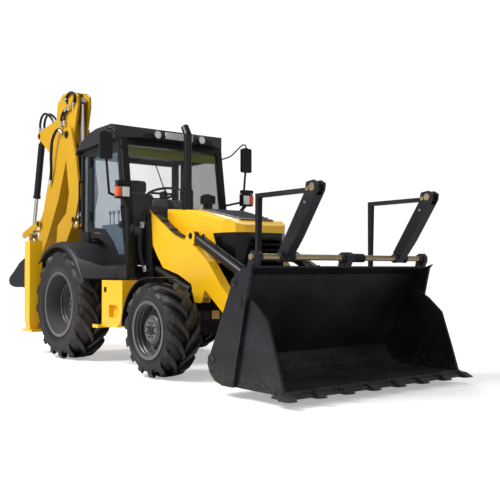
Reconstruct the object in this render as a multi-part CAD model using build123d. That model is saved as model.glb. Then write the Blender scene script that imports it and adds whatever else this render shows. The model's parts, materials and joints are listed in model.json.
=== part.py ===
"""Backhoe loader with a clam loader bucket, flip-over forks and a side-shift backhoe.

Millimetres. +X is forward, +Y is the machine's left, +Z is up. Lengths along X are written
from the rear axle; save() moves everything so that the origin is under the middle of the machine.
"""
from build123d import *
import math
import os

# Overall layout
REAR_AXLE_X = -1063.0     # rear axle, from the middle of the whole machine
WHEELBASE = 2170.0
PIN_GAP = 0.08            # radial play of a pivot pin in its bore
SIDE_GAP = 5.0            # side play between a moving eye and its clevis
RUNNER_GAP = 0.3          # play of a slide on its runner
SEAT_GAP = 0.3            # gap between a turning hub and what carries it

# Wheels: lug tip radius, width, wheel centre from the middle plane
REAR_TYRE_R, REAR_TYRE_W, REAR_WHEEL_Y = 670.0, 430.0, 860.0
FRONT_TYRE_R, FRONT_TYRE_W, FRONT_WHEEL_Y = 485.0, 370.0, 925.0
REAR_RIM_R, FRONT_RIM_R = 380.0, 280.0
REAR_LUGS, FRONT_LUGS = 16, 14
REAR_LUG_H, FRONT_LUG_H = 36.0, 30.0
LUG_W = 52.0
LUG_SPAN_SHARE = 0.85     # a bar's length round the tyre, as a share of the lug pitch
BEAD_FIT = 0.3
FLANGE_T, FLANGE_H = 11.0, 20.0
RIM_T = 14.0
REAR_HUB_R, FRONT_HUB_R = 150.0, 140.0

# Axles
REAR_AXLE_R, REAR_AXLE_END_Y = 110.0, 600.0
FRONT_BEAM_H, FRONT_BEAM_D = 150.0, 170.0
KINGPIN_Y, KINGPIN_R = 720.0, 34.0
FRONT_SPINDLE_R = 60.0

# Chassis
RAIL_Y0, RAIL_Y1 = 230.0, 330.0
RAIL_Z0, RAIL_Z1 = 800.0, 970.0
RAIL_X0, RAIL_X1 = -715.0, 2640.0

# Loader arms
ARM_Y0, ARM_Y1 = 440.0, 550.0
LIFT_PIVOT = (1255.0, 1690.0)
LOADER_PIN = (3230.0, 380.0)
LIFT_PIN_R, LOADER_PIN_R = 35.0, 32.0
TOWER_T = 20.0
LIFT_BASE, LIFT_EYE = (1290.0, 1130.0), (2255.0, 815.0)
TILT_BASE, TILT_EYE = (2130.0, 1452.0), (3358.0, 881.0)
LIFT_BARREL_R, LIFT_ROD_R = 50.0, 27.0
TILT_BARREL_R, TILT_ROD_R = 52.0, 28.0
CYL_PIN_R, CYL_EYE_R, CYL_EYE_W = 26.0, 50.0, 60.0
CYL_EAR_T = 16.0
BARREL_START = 100.0      # the full-width barrel starts clear of the clevis
BARREL_END_T, ROD_END_GAP = 15.0, 4.0

# Loader bucket
BUCKET_HALF = 1165.0
BUCKET_SIDE_T, BUCKET_PLATE_T = 25.0, 16.0
JAW_PIVOT = (3756.0, 824.0)
JAW_GAP = 7.0
JAW_PIN_R = 36.0
JAW_LIP_X, BUCKET_FLOOR_Z = 4300.0, 95.0
JAW_EDGE_T, JAW_EDGE_OUT = 25.0, 60.0
TOOTH_COUNT = 8
TOOTH_L, TOOTH_W = 66.0, 70.0
FORK_SHAFT = (3885.0, 1205.0)
FORK_SHAFT_R = 27.0
FORK_Y = 740.0
FORK_ARM_W = 96.0
FORK_HINGE = (4262.0, 1780.0)
FORK_PIN_R = 20.0

# Backhoe
HOE_Y = -500.0
SWING_X, SWING_PIN_R = -1180.0, 45.0
SWING_LUG_R, SWING_LUG_T = 95.0, 60.0
SWING_LOW_Z, SWING_HIGH_Z = 400.0, 640.0
BOOM_FOOT, BOOM_TOP = (-1330.0, 800.0), (-680.0, 2900.0)
BOOM_PIN_R = 38.0
DIPPER_HALF, DIPPER_SLOT = 100.0, 70.0
BOOM_PLATE_T, CHEEK_T = 30.0, 40.0
HOE_PIN, HOE_PIN_R = (-1600.0, 1390.0), 28.0
BUCKET_LINK_PIN = (-1960.0, 1290.0)
GUIDE_PIN, LINK_JOINT = (-1560.0, 1745.0), (-2079.0, 1596.0)
LINK_PIN_R, LINK_T = 24.0, 20.0
BOOM_CYL_BASE, BOOM_CYL_EYE = (-1520.0, 740.0), (-900.0, 1650.0)
DIPPER_CYL_BASE, DIPPER_CYL_EYE = (-470.0, 1750.0), (-500.0, 3330.0)
HOE_CYL_BASE = (-1770.0, 3030.0)
HOE_BARREL_R, HOE_ROD_R = 48.0, 27.0
HOE_BUCKET_HALF = 280.0
HOE_TOOTH_COUNT = 5
HOE_TOOTH_W = 60.0

# Rear frame and stabilizers
FRAME_X0, FRAME_X1 = -800.0, -715.0
BEAM_H = 120.0
LOW_BEAM_Z, HIGH_BEAM_Z = 440.0, 760.0
LEG_HOUSE_X0, LEG_HOUSE_X1 = -860.0, -700.0
LEG_HOUSE_Y0, LEG_HOUSE_Y1 = 960.0, 1130.0
LEG_HOUSE_Z0, LEG_HOUSE_Z1 = 390.0, 1470.0
LEG_WALL = 14.0
LEG_PAD_Z = 290.0

# Cab
CAB_HALF = 720.0
CAB_WALL = 55.0
CAB_FLOOR_Z = 1150.0
GLASS_T = 8.0


# Small shape helpers

def polygon_face(points, y):
    """Flat face in the XZ plane at the given y."""
    return Face(Wire.make_polygon([Vector(x, y, z) for x, z in points], close=True))


def plate(points, y0, y1):
    """Plate with an XZ outline, from y0 to y1."""
    return Solid.extrude(polygon_face(points, y0), Vector(0, y1 - y0, 0))


def round_plate(points, radius, y0, y1):
    """Plate whose XZ outline has rounded corners."""
    face = polygon_face(points, y0)
    face = face.fillet_2d(radius, face.vertices())
    return Solid.extrude(face, Vector(0, y1 - y0, 0))


def block(x0, x1, y0, y1, z0, z1):
    """Rectangular block between two corners."""
    x0, x1 = sorted((x0, x1))
    y0, y1 = sorted((y0, y1))
    z0, z1 = sorted((z0, z1))
    return Solid.make_box(x1 - x0, y1 - y0, z1 - z0, Plane((x0, y0, z0)))


def rod(start, end, radius):
    """Round bar between two points in space."""
    start, end = Vector(*start), Vector(*end)
    axis = end - start
    return Solid.make_cylinder(radius, axis.length, Plane(start, z_dir=axis.normalized()))


def cross_pin(centre, radius, y0, y1):
    """Round bar along Y through an XZ point."""
    return rod((centre[0], y0, centre[1]), (centre[0], y1, centre[1]), radius)


def mirrored(shape):
    """The same shape on the other side of the middle plane."""
    return mirror(shape, about=Plane.XZ)


def both_sides(shape):
    """A shape and its mirror image, as separate solids of one node."""
    return Compound(children=[*shape.solids(), *mirrored(shape).solids()])


def grow(points, distance):
    """Outline moved outwards by a distance, inwards when negative."""
    count = len(points)
    following = points[1:] + points[:1]
    area = sum(p[0] * q[1] - q[0] * p[1] for p, q in zip(points, following))
    hand = 1 if area > 0 else -1
    moved = []
    for i in range(count):
        before, here, after = points[i - 1], points[i], points[(i + 1) % count]
        normals = []
        for p, q in ((before, here), (here, after)):
            length = math.dist(p, q)
            normals.append((hand * (q[1] - p[1]) / length, -hand * (q[0] - p[0]) / length))
        scale = distance / (1 + normals[0][0] * normals[1][0] + normals[0][1] * normals[1][1])
        shift = [scale * (a + b) for a, b in zip(*normals)]
        moved.append((here[0] + shift[0], here[1] + shift[1]))
    return moved


def along(start, end, distance):
    """Point at a distance from start towards end."""
    length = math.dist(start, end)
    return tuple(a + (b - a) * distance / length for a, b in zip(start, end))


def save(name, shape):
    """Writes one node, moved to the machine's own frame."""
    solids = shape.solids()
    moved = [s.moved(Location((REAR_AXLE_X, 0, 0))) for s in solids]
    export_step(moved[0] if len(moved) == 1 else Compound(children=moved), f"parts/{name}.step")


# Wheels

def faceted_ring(profile, sides):
    """Closed ring with flat facets: an (axial, radius) outline turned in equal steps about Y."""
    rows = []
    for j in range(sides):
        turn = 2 * math.pi * (j + 0.5) / sides
        rows.append([Vector(r * math.cos(turn), a, r * math.sin(turn)) for a, r in profile])
    faces = []
    for j in range(sides):
        here, there = rows[j], rows[(j + 1) % sides]
        for i in range(len(profile)):
            k = (i + 1) % len(profile)
            faces.append(Face(Wire.make_polygon([here[i], here[k], there[k], there[i]], close=True)))
    return Solid(Shell(faces))


def lug(tip_radius, base_radius, half_width, count, side):
    """One slanted tread bar on one side of the tyre, centred at the bottom of the wheel."""
    half_span = tip_radius * math.sin(math.radians(LUG_SPAN_SHARE * 180 / count))
    top = math.sqrt(tip_radius ** 2 - half_span ** 2)
    half_bar = LUG_W / 2
    outline = [(-half_span, 8 - half_bar / 2), (-half_span + LUG_W, 8 - half_bar / 2),
               (half_span, half_width * 0.8), (half_span, half_width), (half_span - LUG_W, half_width)]
    points = [Vector(t, side * a, -top) for t, a in outline]
    face = Face(Wire.make_polygon(points, close=True))
    return Solid.extrude(face, Vector(0, 0, top - base_radius))


def axle_height(tip_radius, count):
    """Height of the wheel centre when the tyre stands on two neighbouring bar ends."""
    pitch = math.radians(360 / count)
    return tip_radius * math.cos(pitch / 2 * (1 - LUG_SPAN_SHARE))


def faceted_bore(radius, sides, half):
    """Prism about Y whose flat sides just clear a round rim of this radius."""
    reach = radius / math.cos(math.pi / sides)
    turns = [2 * math.pi * (j + 0.5) / sides for j in range(sides)]
    return plate([(reach * math.cos(a), reach * math.sin(a)) for a in turns], -half, half)


def tyre(tip_radius, width, rim_radius, lug_height, count):
    """Lugged tyre about Y, centred on the origin."""
    base = tip_radius - lug_height
    half = width / 2
    bead = half * 0.78
    side = [(bead, rim_radius - 12), (bead + 6, rim_radius + 12), (half, (base + rim_radius) / 2),
            (half * 0.96, base - 26), (half * 0.62, base - 4)]
    profile = side + [(-a, r) for a, r in reversed(side)]
    carcass = faceted_ring(profile, 2 * count)
    bars = []
    pitch = 360 / count
    for i in range(count):
        for hand in (1, -1):
            turn = pitch * (i + (0.5 if hand > 0 else 0))
            bar = lug(tip_radius, base - 34, half, count, hand)
            bars.append(bar.rotate(Axis.Y, turn))
    return carcass.fuse(*bars) - faceted_bore(rim_radius, 2 * count, width)


def rim(rim_radius, width, disc_y, hub_radius, hub_y0, hub_y1, well):
    """Wheel rim about Y, outer side towards +Y: barrel, two flanges, dished disc and hub."""
    half = width / 2 * 0.78 + 14
    out = rim_radius - BEAD_FIT
    lip = rim_radius + FLANGE_H
    inner = out - RIM_T
    outline = [(half + FLANGE_T, inner), (half + FLANGE_T, lip), (half, lip), (half, out), (-half, out),
               (-half, lip), (-half - FLANGE_T, lip), (-half - FLANGE_T, inner), (disc_y - RIM_T, inner),
               (disc_y - RIM_T - well, hub_radius), (hub_y0, hub_radius), (hub_y0, 0), (hub_y1, 0),
               (hub_y1, hub_radius * 0.8), (disc_y - well + 20, hub_radius), (disc_y, inner)]
    face = Face(Wire.make_polygon([Vector(r, a, 0) for a, r in outline], close=True))
    return Solid.revolve(face, 360, Axis.Y)


REAR_HUB_Z = axle_height(REAR_TYRE_R, REAR_LUGS)
FRONT_HUB_Z = axle_height(FRONT_TYRE_R, FRONT_LUGS)


def wheels():
    """Four wheels, each a rim and a tyre."""
    rear_tyre = tyre(REAR_TYRE_R, REAR_TYRE_W, REAR_RIM_R, REAR_LUG_H, REAR_LUGS)
    front_tyre = tyre(FRONT_TYRE_R, FRONT_TYRE_W, FRONT_RIM_R, FRONT_LUG_H, FRONT_LUGS)
    rear_rim = rim(REAR_RIM_R, REAR_TYRE_W, -40, REAR_HUB_R,
                   REAR_AXLE_END_Y + SEAT_GAP - REAR_WHEEL_Y, -10, 60)
    front_rim = rim(FRONT_RIM_R, FRONT_TYRE_W, 30, FRONT_HUB_R, KINGPIN_Y + 95 - FRONT_WHEEL_Y, 130, 20)
    front_rim = front_rim - cross_pin((0, 0), FRONT_SPINDLE_R + PIN_GAP, -FRONT_TYRE_W, 40)
    places = [("rear", 0.0, REAR_WHEEL_Y, REAR_HUB_Z, rear_rim, rear_tyre),
              ("front", WHEELBASE, FRONT_WHEEL_Y, FRONT_HUB_Z, front_rim, front_tyre)]
    for end, x, y, z, wheel_rim, wheel_tyre in places:
        for name, shape in (("rim", wheel_rim), ("tyre", wheel_tyre)):
            left = shape.moved(Location((x, y, z)))
            save(f"{end}_{name}_left", left)
            save(f"{end}_{name}_right", mirrored(left))


# Chassis, axles and engine

def chassis_frame():
    """Two rails with cross members, the loader towers and the axle saddles, as one welded frame."""
    rails = block(RAIL_X0, RAIL_X1, RAIL_Y0, RAIL_Y1, RAIL_Z0, RAIL_Z1)
    body = rails + mirrored(rails)
    for x in (RAIL_X0, 420.0, 1180.0, RAIL_X1 - 90):
        body = body + block(x, x + 90, -RAIL_Y0, RAIL_Y0, RAIL_Z0 + 20, RAIL_Z1 - 20)
    saddle = block(-130, 130, RAIL_Y0, RAIL_Y1, REAR_HUB_Z + REAR_AXLE_R * 0.8, RAIL_Z0)
    saddle = saddle - cross_pin((0, REAR_HUB_Z), REAR_AXLE_R, 0, RAIL_Y1 + 1)
    bolster = block(WHEELBASE - 60, WHEELBASE + 60, -150, 150, FRONT_HUB_Z + FRONT_BEAM_H / 2, RAIL_Z0 + 40)
    bolster = bolster + block(WHEELBASE - 60, WHEELBASE + 60, -RAIL_Y1, RAIL_Y1, RAIL_Z0, RAIL_Z0 + 60)
    outer, inner = ARM_Y1 + SIDE_GAP, ARM_Y0 - SIDE_GAP
    outline = [(1200, RAIL_Z0), (1460, RAIL_Z0), (1400, 1180), (1352, 1640), (1352, 1740),
               (1300, 1790), (1210, 1790), (1165, 1740), (1165, 1640), (1200, 1400)]
    tower = plate(outline, outer, outer + TOWER_T) + plate(outline, inner - TOWER_T, inner)
    tower = tower + block(1200, 1460, RAIL_Y1, outer + TOWER_T, RAIL_Z0, RAIL_Z0 + 90)
    tower = tower + block(1200, 1220, inner, outer, RAIL_Z0 + 90, LIFT_BASE[1] - 80)
    for centre, radius in ((LIFT_PIVOT, LIFT_PIN_R), (LIFT_BASE, CYL_PIN_R)):
        tower = tower + cross_pin(centre, radius, inner - TOWER_T - 12, outer + TOWER_T + 12)
    half = saddle + tower
    for x in (60.0, 1000.0):
        half = half + Solid.make_cylinder(48, CAB_FLOOR_Z - RAIL_Z1, Plane((x, (RAIL_Y0 + RAIL_Y1) / 2, RAIL_Z1)))
    return body + half + mirrored(half) + bolster


def engine_block():
    """Engine and gearbox as one plain mass between the rails."""
    engine = block(1620, 2290, -RAIL_Y0 + 20, RAIL_Y0 - 20, RAIL_Z1 - 60, 1330)
    gearbox = block(520, 1620, -RAIL_Y0 + 20, RAIL_Y0 - 20, 620, RAIL_Z0 + 20)
    joined = engine + block(1540, 1620, -RAIL_Y0 + 20, RAIL_Y0 - 20, 640, 1330) + gearbox
    return joined - block(1180 - 1, 1271, -RAIL_Y0, RAIL_Y0, RAIL_Z0 + 20, RAIL_Z1)


def rear_axle():
    """Axle tube with a round differential case."""
    tube = cross_pin((0, REAR_HUB_Z), REAR_AXLE_R, -REAR_AXLE_END_Y, REAR_AXLE_END_Y)
    outline = [(-190, 0), (-190, 70), (-120, 145), (120, 145), (190, 70), (190, 0)]
    face = Face(Wire.make_polygon([Vector(x, y, 0) for x, y in outline], close=True))
    case = Solid.revolve(face, 360, Axis.X).moved(Location((0, 0, REAR_HUB_Z)))
    for side in (-1, 1):
        tube = tube + cross_pin((0, REAR_HUB_Z), 150, side * REAR_AXLE_END_Y, side * (REAR_AXLE_END_Y - 60))
    return tube + case


def front_axle():
    """Front beam with kingpin forks at both ends."""
    z0, z1 = FRONT_HUB_Z - FRONT_BEAM_H / 2, FRONT_HUB_Z + FRONT_BEAM_H / 2
    end = KINGPIN_Y - 75
    beam = block(WHEELBASE - FRONT_BEAM_D / 2, WHEELBASE + FRONT_BEAM_D / 2, -end, end, z0, z1)
    for side in (-1, 1):
        for low in (z0 - 45, z1 + 5):
            fork = block(WHEELBASE - 60, WHEELBASE + 60, side * (end - 60), side * KINGPIN_Y, low, low + 40)
            fork = fork + Solid.make_cylinder(60, 40, Plane((WHEELBASE, side * KINGPIN_Y, low)))
            beam = beam + fork
        for low in (z0 - 45, z1):
            beam = beam + block(WHEELBASE - 60, WHEELBASE + 60, side * (end - 60), side * (end - 1), low, low + 45)
        pin = Solid.make_cylinder(KINGPIN_R, FRONT_BEAM_H + 90, Plane((WHEELBASE, side * KINGPIN_Y, z0 - 45)))
        beam = beam + pin
    return beam


def knuckles():
    """Steering knuckles with their spindles and the mudguards that steer with the wheels."""
    z0, z1 = FRONT_HUB_Z - FRONT_BEAM_H / 2, FRONT_HUB_Z + FRONT_BEAM_H / 2
    post = Solid.make_cylinder(58, FRONT_BEAM_H, Plane((WHEELBASE, KINGPIN_Y, z0)))
    arm = rod((WHEELBASE, KINGPIN_Y, FRONT_HUB_Z), (WHEELBASE, KINGPIN_Y + 95 - SEAT_GAP, FRONT_HUB_Z), 70)
    spindle = cross_pin((WHEELBASE, FRONT_HUB_Z), FRONT_SPINDLE_R, KINGPIN_Y, FRONT_WHEEL_Y + 39)
    body = post + arm + spindle
    guard_r = FRONT_TYRE_R + 40
    shell = cross_pin((WHEELBASE, FRONT_HUB_Z), guard_r + 10, FRONT_WHEEL_Y - 150, FRONT_WHEEL_Y + 165)
    shell = shell - cross_pin((WHEELBASE, FRONT_HUB_Z), guard_r, 0, FRONT_WHEEL_Y + 200)
    sector = [(-900, 20), (0, 0), (120, 900), (-900, 900)]
    keep = plate([(WHEELBASE + x, FRONT_HUB_Z + z) for x, z in sector], 0, 2000)
    guard = shell & keep
    y0, y1 = FRONT_WHEEL_Y - FRONT_TYRE_W / 2 - 30, FRONT_WHEEL_Y - FRONT_TYRE_W / 2 - 12
    turn = math.radians(118)
    reach = guard_r + 5
    tip = (WHEELBASE + reach * math.cos(turn), FRONT_HUB_Z + reach * math.sin(turn))
    stay = plate([(WHEELBASE - 102, FRONT_HUB_Z + 20), (WHEELBASE - 82, FRONT_HUB_Z + 62),
                  (tip[0] + 30, tip[1]), (tip[0] - 30, tip[1] - 10)], y0, y1)
    foot = block(WHEELBASE - 102, WHEELBASE - 30, y0, y1, FRONT_HUB_Z + 20, FRONT_HUB_Z + 62)
    hook = rod((tip[0], y0, tip[1] - 8), (tip[0], FRONT_WHEEL_Y - 60, tip[1] - 8), 9)
    hook = hook - cross_pin((WHEELBASE, FRONT_HUB_Z), guard_r - 14, 0, 2000)
    body = body + stay + foot + hook + guard
    clear = Solid.make_cylinder(KINGPIN_R + PIN_GAP, 400, Plane((WHEELBASE, KINGPIN_Y, z0 - 100)))
    return body - clear


# Hydraulic cylinders

def cylinder_parts(base, tip, barrel_r, rod_r, y, barrel_share, travel_in):
    """Barrel and rod between two pins in the plane y; the rod can slide in by travel_in from rest."""
    def point(distance):
        x, z = along(base, tip, distance)
        return (x, y, z)

    length = math.dist(base, tip)
    reach = length * barrel_share
    y0, y1 = y - CYL_EYE_W / 2, y + CYL_EYE_W / 2
    barrel = rod(point(0), point(BARREL_START + 10), CYL_EYE_W / 2) + cross_pin(base, CYL_EYE_R, y0, y1)
    barrel = barrel + rod(point(BARREL_START), point(reach), barrel_r)
    barrel = barrel + rod(point(reach - 40), point(reach), barrel_r + 7)
    barrel = barrel - rod(point(BARREL_START + BARREL_END_T), point(reach + 5), rod_r + PIN_GAP)
    barrel = barrel - cross_pin(base, CYL_PIN_R + PIN_GAP, y0 - 1, y1 + 1)
    inner = BARREL_START + BARREL_END_T + travel_in + ROD_END_GAP
    bar = rod(point(inner), point(length), rod_r) + cross_pin(tip, CYL_EYE_R, y0, y1)
    bar = bar - cross_pin(tip, CYL_PIN_R + PIN_GAP, y0 - 1, y1 + 1)
    return barrel, bar


def clevis(centre, outline, y, pin_r=CYL_PIN_R):
    """Two ears with a pin that hold a cylinder's eye in the plane y."""
    y0, y1 = y - CYL_EYE_W / 2 - SIDE_GAP, y + CYL_EYE_W / 2 + SIDE_GAP
    ears = plate(outline, y0 - CYL_EAR_T, y0) + plate(outline, y1, y1 + CYL_EAR_T)
    if pin_r:
        ears = ears + cross_pin(centre, pin_r, y0 - CYL_EAR_T, y1 + CYL_EAR_T)
    return ears


ARM_Y = (ARM_Y0 + ARM_Y1) / 2


def loader_arms():
    """Two deep box arms with a cross tube, tilt brackets on top and lift brackets below."""
    top = [(1160, 1655), (1165, 1730), (1215, 1780), (1295, 1775), (1818, 1470), (2217, 1340), (2450, 1180),
           (2690, 925), (LOADER_PIN[0] + 50, LOADER_PIN[1] + 60), (LOADER_PIN[0] + 75, LOADER_PIN[1])]
    low = [(LOADER_PIN[0] + 50, LOADER_PIN[1] - 60), (LOADER_PIN[0] - 30, LOADER_PIN[1] - 70), (2400, 890),
           (2335, 750), (2215, 750), (2150, 945), (1898, 1045), (1600, 1115), (1470, 1255)]
    arm = round_plate(top + low, 18, ARM_Y0, ARM_Y1)
    slot_y0, slot_y1 = ARM_Y - CYL_EYE_W / 2 - SIDE_GAP, ARM_Y + CYL_EYE_W / 2 + SIDE_GAP
    slot = [(1300, 700), (2360, 700), (2360, 925), (1960, 1035), (1600, 1180), (1440, 1290)]
    arm = arm - plate(slot, slot_y0, slot_y1)
    ears = [(-150, -107), (-50, 50), (40, 50), (70, 0), (60, -92)]
    arm = arm + clevis(TILT_BASE, [(TILT_BASE[0] + x, TILT_BASE[1] + z) for x, z in ears], ARM_Y)
    for centre, radius in ((LIFT_PIVOT, LIFT_PIN_R), (LOADER_PIN, LOADER_PIN_R)):
        arm = arm - cross_pin(centre, radius + PIN_GAP, ARM_Y0 - 1, ARM_Y1 + 1)
    tube = cross_pin((2790, 720), 75, -ARM_Y0, ARM_Y0)
    return arm + mirrored(arm) + tube


def loader_cylinders():
    """Lift and tilt cylinders of both arms."""
    for name, base, tip, barrel_r, rod_r, share, travel_in in (
            ("lift", LIFT_BASE, LIFT_EYE, LIFT_BARREL_R, LIFT_ROD_R, 0.83, 0.0),
            ("tilt", TILT_BASE, TILT_EYE, TILT_BARREL_R, TILT_ROD_R, 0.725, 312.0)):
        barrel, bar = cylinder_parts(base, tip, barrel_r, rod_r, ARM_Y, share, travel_in)
        save(f"{name}_barrels", both_sides(barrel))
        save(f"{name}_rods", both_sides(bar))


# Loader bucket with a clam jaw and flip-over forks

BUCKET_BACK = [(3310, 270), (3345, 190), (3420, 125), (3530, BUCKET_FLOOR_Z), (3680, BUCKET_FLOOR_Z),
               (3925, 1110), (3965, 1150), (3714, 1068)]
JAW_SIDE = [(3700, BUCKET_FLOOR_Z), (JAW_LIP_X, BUCKET_FLOOR_Z), (JAW_LIP_X - 95, 380), (4100, 680), (3940, 815),
            (3800, 895), (3715, 880), (3700, 790), (3800, 700)]
SPILL_X = 3900.0          # front of the spill plate, clear of the forks when they fold forward


def back_x(z):
    """Rear face of the bucket's back plate at a height."""
    foot, top = BUCKET_BACK[0], BUCKET_BACK[7]
    return foot[0] + (top[0] - foot[0]) * (z - foot[1]) / (top[1] - foot[1])


def bucket_back():
    """Rear half of the bucket: side plates, curved back plate, pivot ears and fork shaft bearings."""
    inner = BUCKET_HALF - BUCKET_SIDE_T
    side = plate(BUCKET_BACK, inner, BUCKET_HALF)
    side = side + cross_pin(JAW_PIVOT, JAW_PIN_R, inner - 45, BUCKET_HALF + 6)
    back = plate([BUCKET_BACK[7], *BUCKET_BACK[:5], (3680, 120), (3545, 122), (3440, 160), (3375, 240), (3356, 310),
                  (3400, 400), (3585, 770), (3735, 1062)], -inner, inner)
    (foot_x, foot_z), (tip_x, tip_z) = BUCKET_BACK[7], BUCKET_BACK[6]
    spill_z = foot_z + (tip_z - foot_z) * (SPILL_X - foot_x) / (tip_x - foot_x)
    spill = plate([(foot_x, foot_z), (SPILL_X, spill_z), (SPILL_X, spill_z - BUCKET_PLATE_T),
                   (foot_x + 21, foot_z - BUCKET_PLATE_T)], -inner, inner)
    ear_in = ARM_Y0 - SIDE_GAP
    ear_out = ARM_Y1 + SIDE_GAP
    lower = [(LOADER_PIN[0] - 60, LOADER_PIN[1] - 40), (LOADER_PIN[0] + 90, LOADER_PIN[1] - 110),
             (LOADER_PIN[0] + 140, LOADER_PIN[1] + 40), (LOADER_PIN[0] + 20, LOADER_PIN[1] + 65),
             (LOADER_PIN[0] - 50, LOADER_PIN[1] + 50)]
    ears = plate(lower, ear_in - TOWER_T, ear_in) + plate(lower, ear_out, ear_out + TOWER_T)
    ears = ears + cross_pin(LOADER_PIN, LOADER_PIN_R, ear_in - TOWER_T - 8, ear_out + TOWER_T + 8)
    upper = [(TILT_EYE[0] + x, TILT_EYE[1] + z) for x, z in ((-55, -30), (-40, 45), (30, 55))]
    upper += [(back_x(z) + 10, z) for z in (TILT_EYE[1] + 60, TILT_EYE[1] - 160)]
    ears = ears + clevis(TILT_EYE, upper, ARM_Y, None)
    foot = spill_z - BUCKET_PLATE_T
    bearing = [(FORK_SHAFT[0] - 80, foot - 22), (FORK_SHAFT[0] - 45, FORK_SHAFT[1] + 35),
               (FORK_SHAFT[0] - 15, FORK_SHAFT[1] + 52), (FORK_SHAFT[0] + 20, FORK_SHAFT[1] + 52),
               (FORK_SHAFT[0] + 50, FORK_SHAFT[1] + 20), (FORK_SHAFT[0] + 50, FORK_SHAFT[1] - 25), (SPILL_X, foot)]
    posts = plate(bearing, BUCKET_HALF - 105, BUCKET_HALF - 55) + plate(bearing, 0, 40)
    half = side + ears + posts
    body = back + spill + half + mirrored(half)
    return body - cross_pin(FORK_SHAFT, FORK_SHAFT_R, -BUCKET_HALF, BUCKET_HALF)


def bucket_jaw():
    """Front half of the bucket: side plates, floor, cutting edge and teeth."""
    outer = BUCKET_HALF - BUCKET_SIDE_T - JAW_GAP
    inner = outer - BUCKET_SIDE_T
    side = plate(JAW_SIDE, inner, outer)
    side = side - cross_pin(JAW_PIVOT, JAW_PIN_R + PIN_GAP, inner - 1, outer + 1)
    z = BUCKET_FLOOR_Z
    floor = plate([(3700, z), (JAW_LIP_X, z), (JAW_LIP_X, z + 30), (3700, z + 20)], -outer, outer)
    low, tip = z - JAW_EDGE_T, JAW_LIP_X + JAW_EDGE_OUT
    edge = plate([(JAW_LIP_X - 110, low), (tip, low), (JAW_LIP_X + 10, z), (JAW_LIP_X - 110, z)],
                 -BUCKET_HALF, BUCKET_HALF)
    tooth = [(JAW_LIP_X - 30, low - 12), (tip + 10, low - 12), (tip + TOOTH_L, low - 4), (tip + TOOTH_L, low + 4),
             (tip - 10, z + 13), (JAW_LIP_X - 30, z + 20)]
    body = floor + side + mirrored(side) + edge
    step = (2 * BUCKET_HALF - TOOTH_W) / (TOOTH_COUNT - 1)
    for i in range(TOOTH_COUNT):
        y = -BUCKET_HALF + i * step
        body = body + plate(tooth, y, y + TOOTH_W)
    return body


def fork_shaft():
    """Steel shaft along the bucket's top that the forks turn on."""
    return cross_pin(FORK_SHAFT, FORK_SHAFT_R - PIN_GAP, -BUCKET_HALF + 30, BUCKET_HALF - 30)


def forks():
    """Flip-over forks: a tapered arm on the shaft and an L-shaped tine hinged at its tip."""
    y0, y1 = FORK_Y - FORK_ARM_W / 2, FORK_Y + FORK_ARM_W / 2
    wall = 18.0
    outline = [(FORK_SHAFT[0] - 48, FORK_SHAFT[1] - 12), (FORK_SHAFT[0] - 40, FORK_SHAFT[1] + 60),
               (FORK_HINGE[0] - 95, FORK_HINGE[1] - 40), (FORK_HINGE[0] - 70, FORK_HINGE[1] + 50),
               (FORK_HINGE[0] + 20, FORK_HINGE[1] + 60), (FORK_HINGE[0] + 70, FORK_HINGE[1] + 30),
               (FORK_HINGE[0] + 60, FORK_HINGE[1] - 30), (FORK_SHAFT[0] + 180, FORK_SHAFT[1] + 170),
               (FORK_SHAFT[0] + 50, FORK_SHAFT[1] + 10), (FORK_SHAFT[0] + 10, FORK_SHAFT[1] - 48)]
    arm = round_plate(outline, 16, y0, y1)
    notch = [(FORK_HINGE[0] - 130, FORK_HINGE[1] - 70), (FORK_HINGE[0] - 130, FORK_HINGE[1] + 90),
             (FORK_HINGE[0] + 130, FORK_HINGE[1] + 90), (FORK_HINGE[0] + 130, FORK_HINGE[1] - 70)]
    arm = arm - plate(notch, y0 + wall, y1 - wall)
    arm = arm + cross_pin(FORK_HINGE, FORK_PIN_R, y0, y1)
    arm = arm - cross_pin(FORK_SHAFT, FORK_SHAFT_R, y0 - 1, y1 + 1)
    shank_z0, shank_z1 = FORK_HINGE[1] - 36, FORK_HINGE[1] + 4
    heel_x = 3490.0
    root_x, root_z = FORK_HINGE[0], shank_z1 + 36
    tine_points = [(root_x + 30, shank_z0), (root_x + 30, root_z), (root_x - 30, root_z), (root_x - 60, shank_z1),
                   (heel_x, shank_z1), (heel_x, 900), (heel_x + 18, 880), (heel_x + 45, shank_z0)]
    tine = plate(tine_points, y0 + wall + SIDE_GAP, y1 - wall - SIDE_GAP)
    tine = tine - cross_pin(FORK_HINGE, FORK_PIN_R + PIN_GAP, y0, y1)
    save("fork_arm_left", arm)
    save("fork_arm_right", mirrored(arm))
    save("fork_tine_left", tine)
    save("fork_tine_right", mirrored(tine))


# Backhoe

def rear_frame():
    """Two slide beams between the stabilizer housings, joined to the chassis rails."""
    house = block(LEG_HOUSE_X0, LEG_HOUSE_X1, LEG_HOUSE_Y0, LEG_HOUSE_Y1, LEG_HOUSE_Z0, LEG_HOUSE_Z1)
    house = house - block(LEG_HOUSE_X0 + LEG_WALL, LEG_HOUSE_X1 - LEG_WALL, LEG_HOUSE_Y0 + LEG_WALL,
                          LEG_HOUSE_Y1 - LEG_WALL, LEG_HOUSE_Z0 - 1, LEG_HOUSE_Z1 - LEG_WALL)
    body = house + mirrored(house)
    for z0 in (LOW_BEAM_Z, HIGH_BEAM_Z):
        body = body + block(FRAME_X0, FRAME_X1, -LEG_HOUSE_Y0, LEG_HOUSE_Y0, z0, z0 + BEAM_H)
    for y in (-RAIL_Y1, RAIL_Y0):
        body = body + block(FRAME_X1 - 50, FRAME_X1, y, y + RAIL_Y1 - RAIL_Y0, LOW_BEAM_Z + BEAM_H, HIGH_BEAM_Z)
    return body


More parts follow.
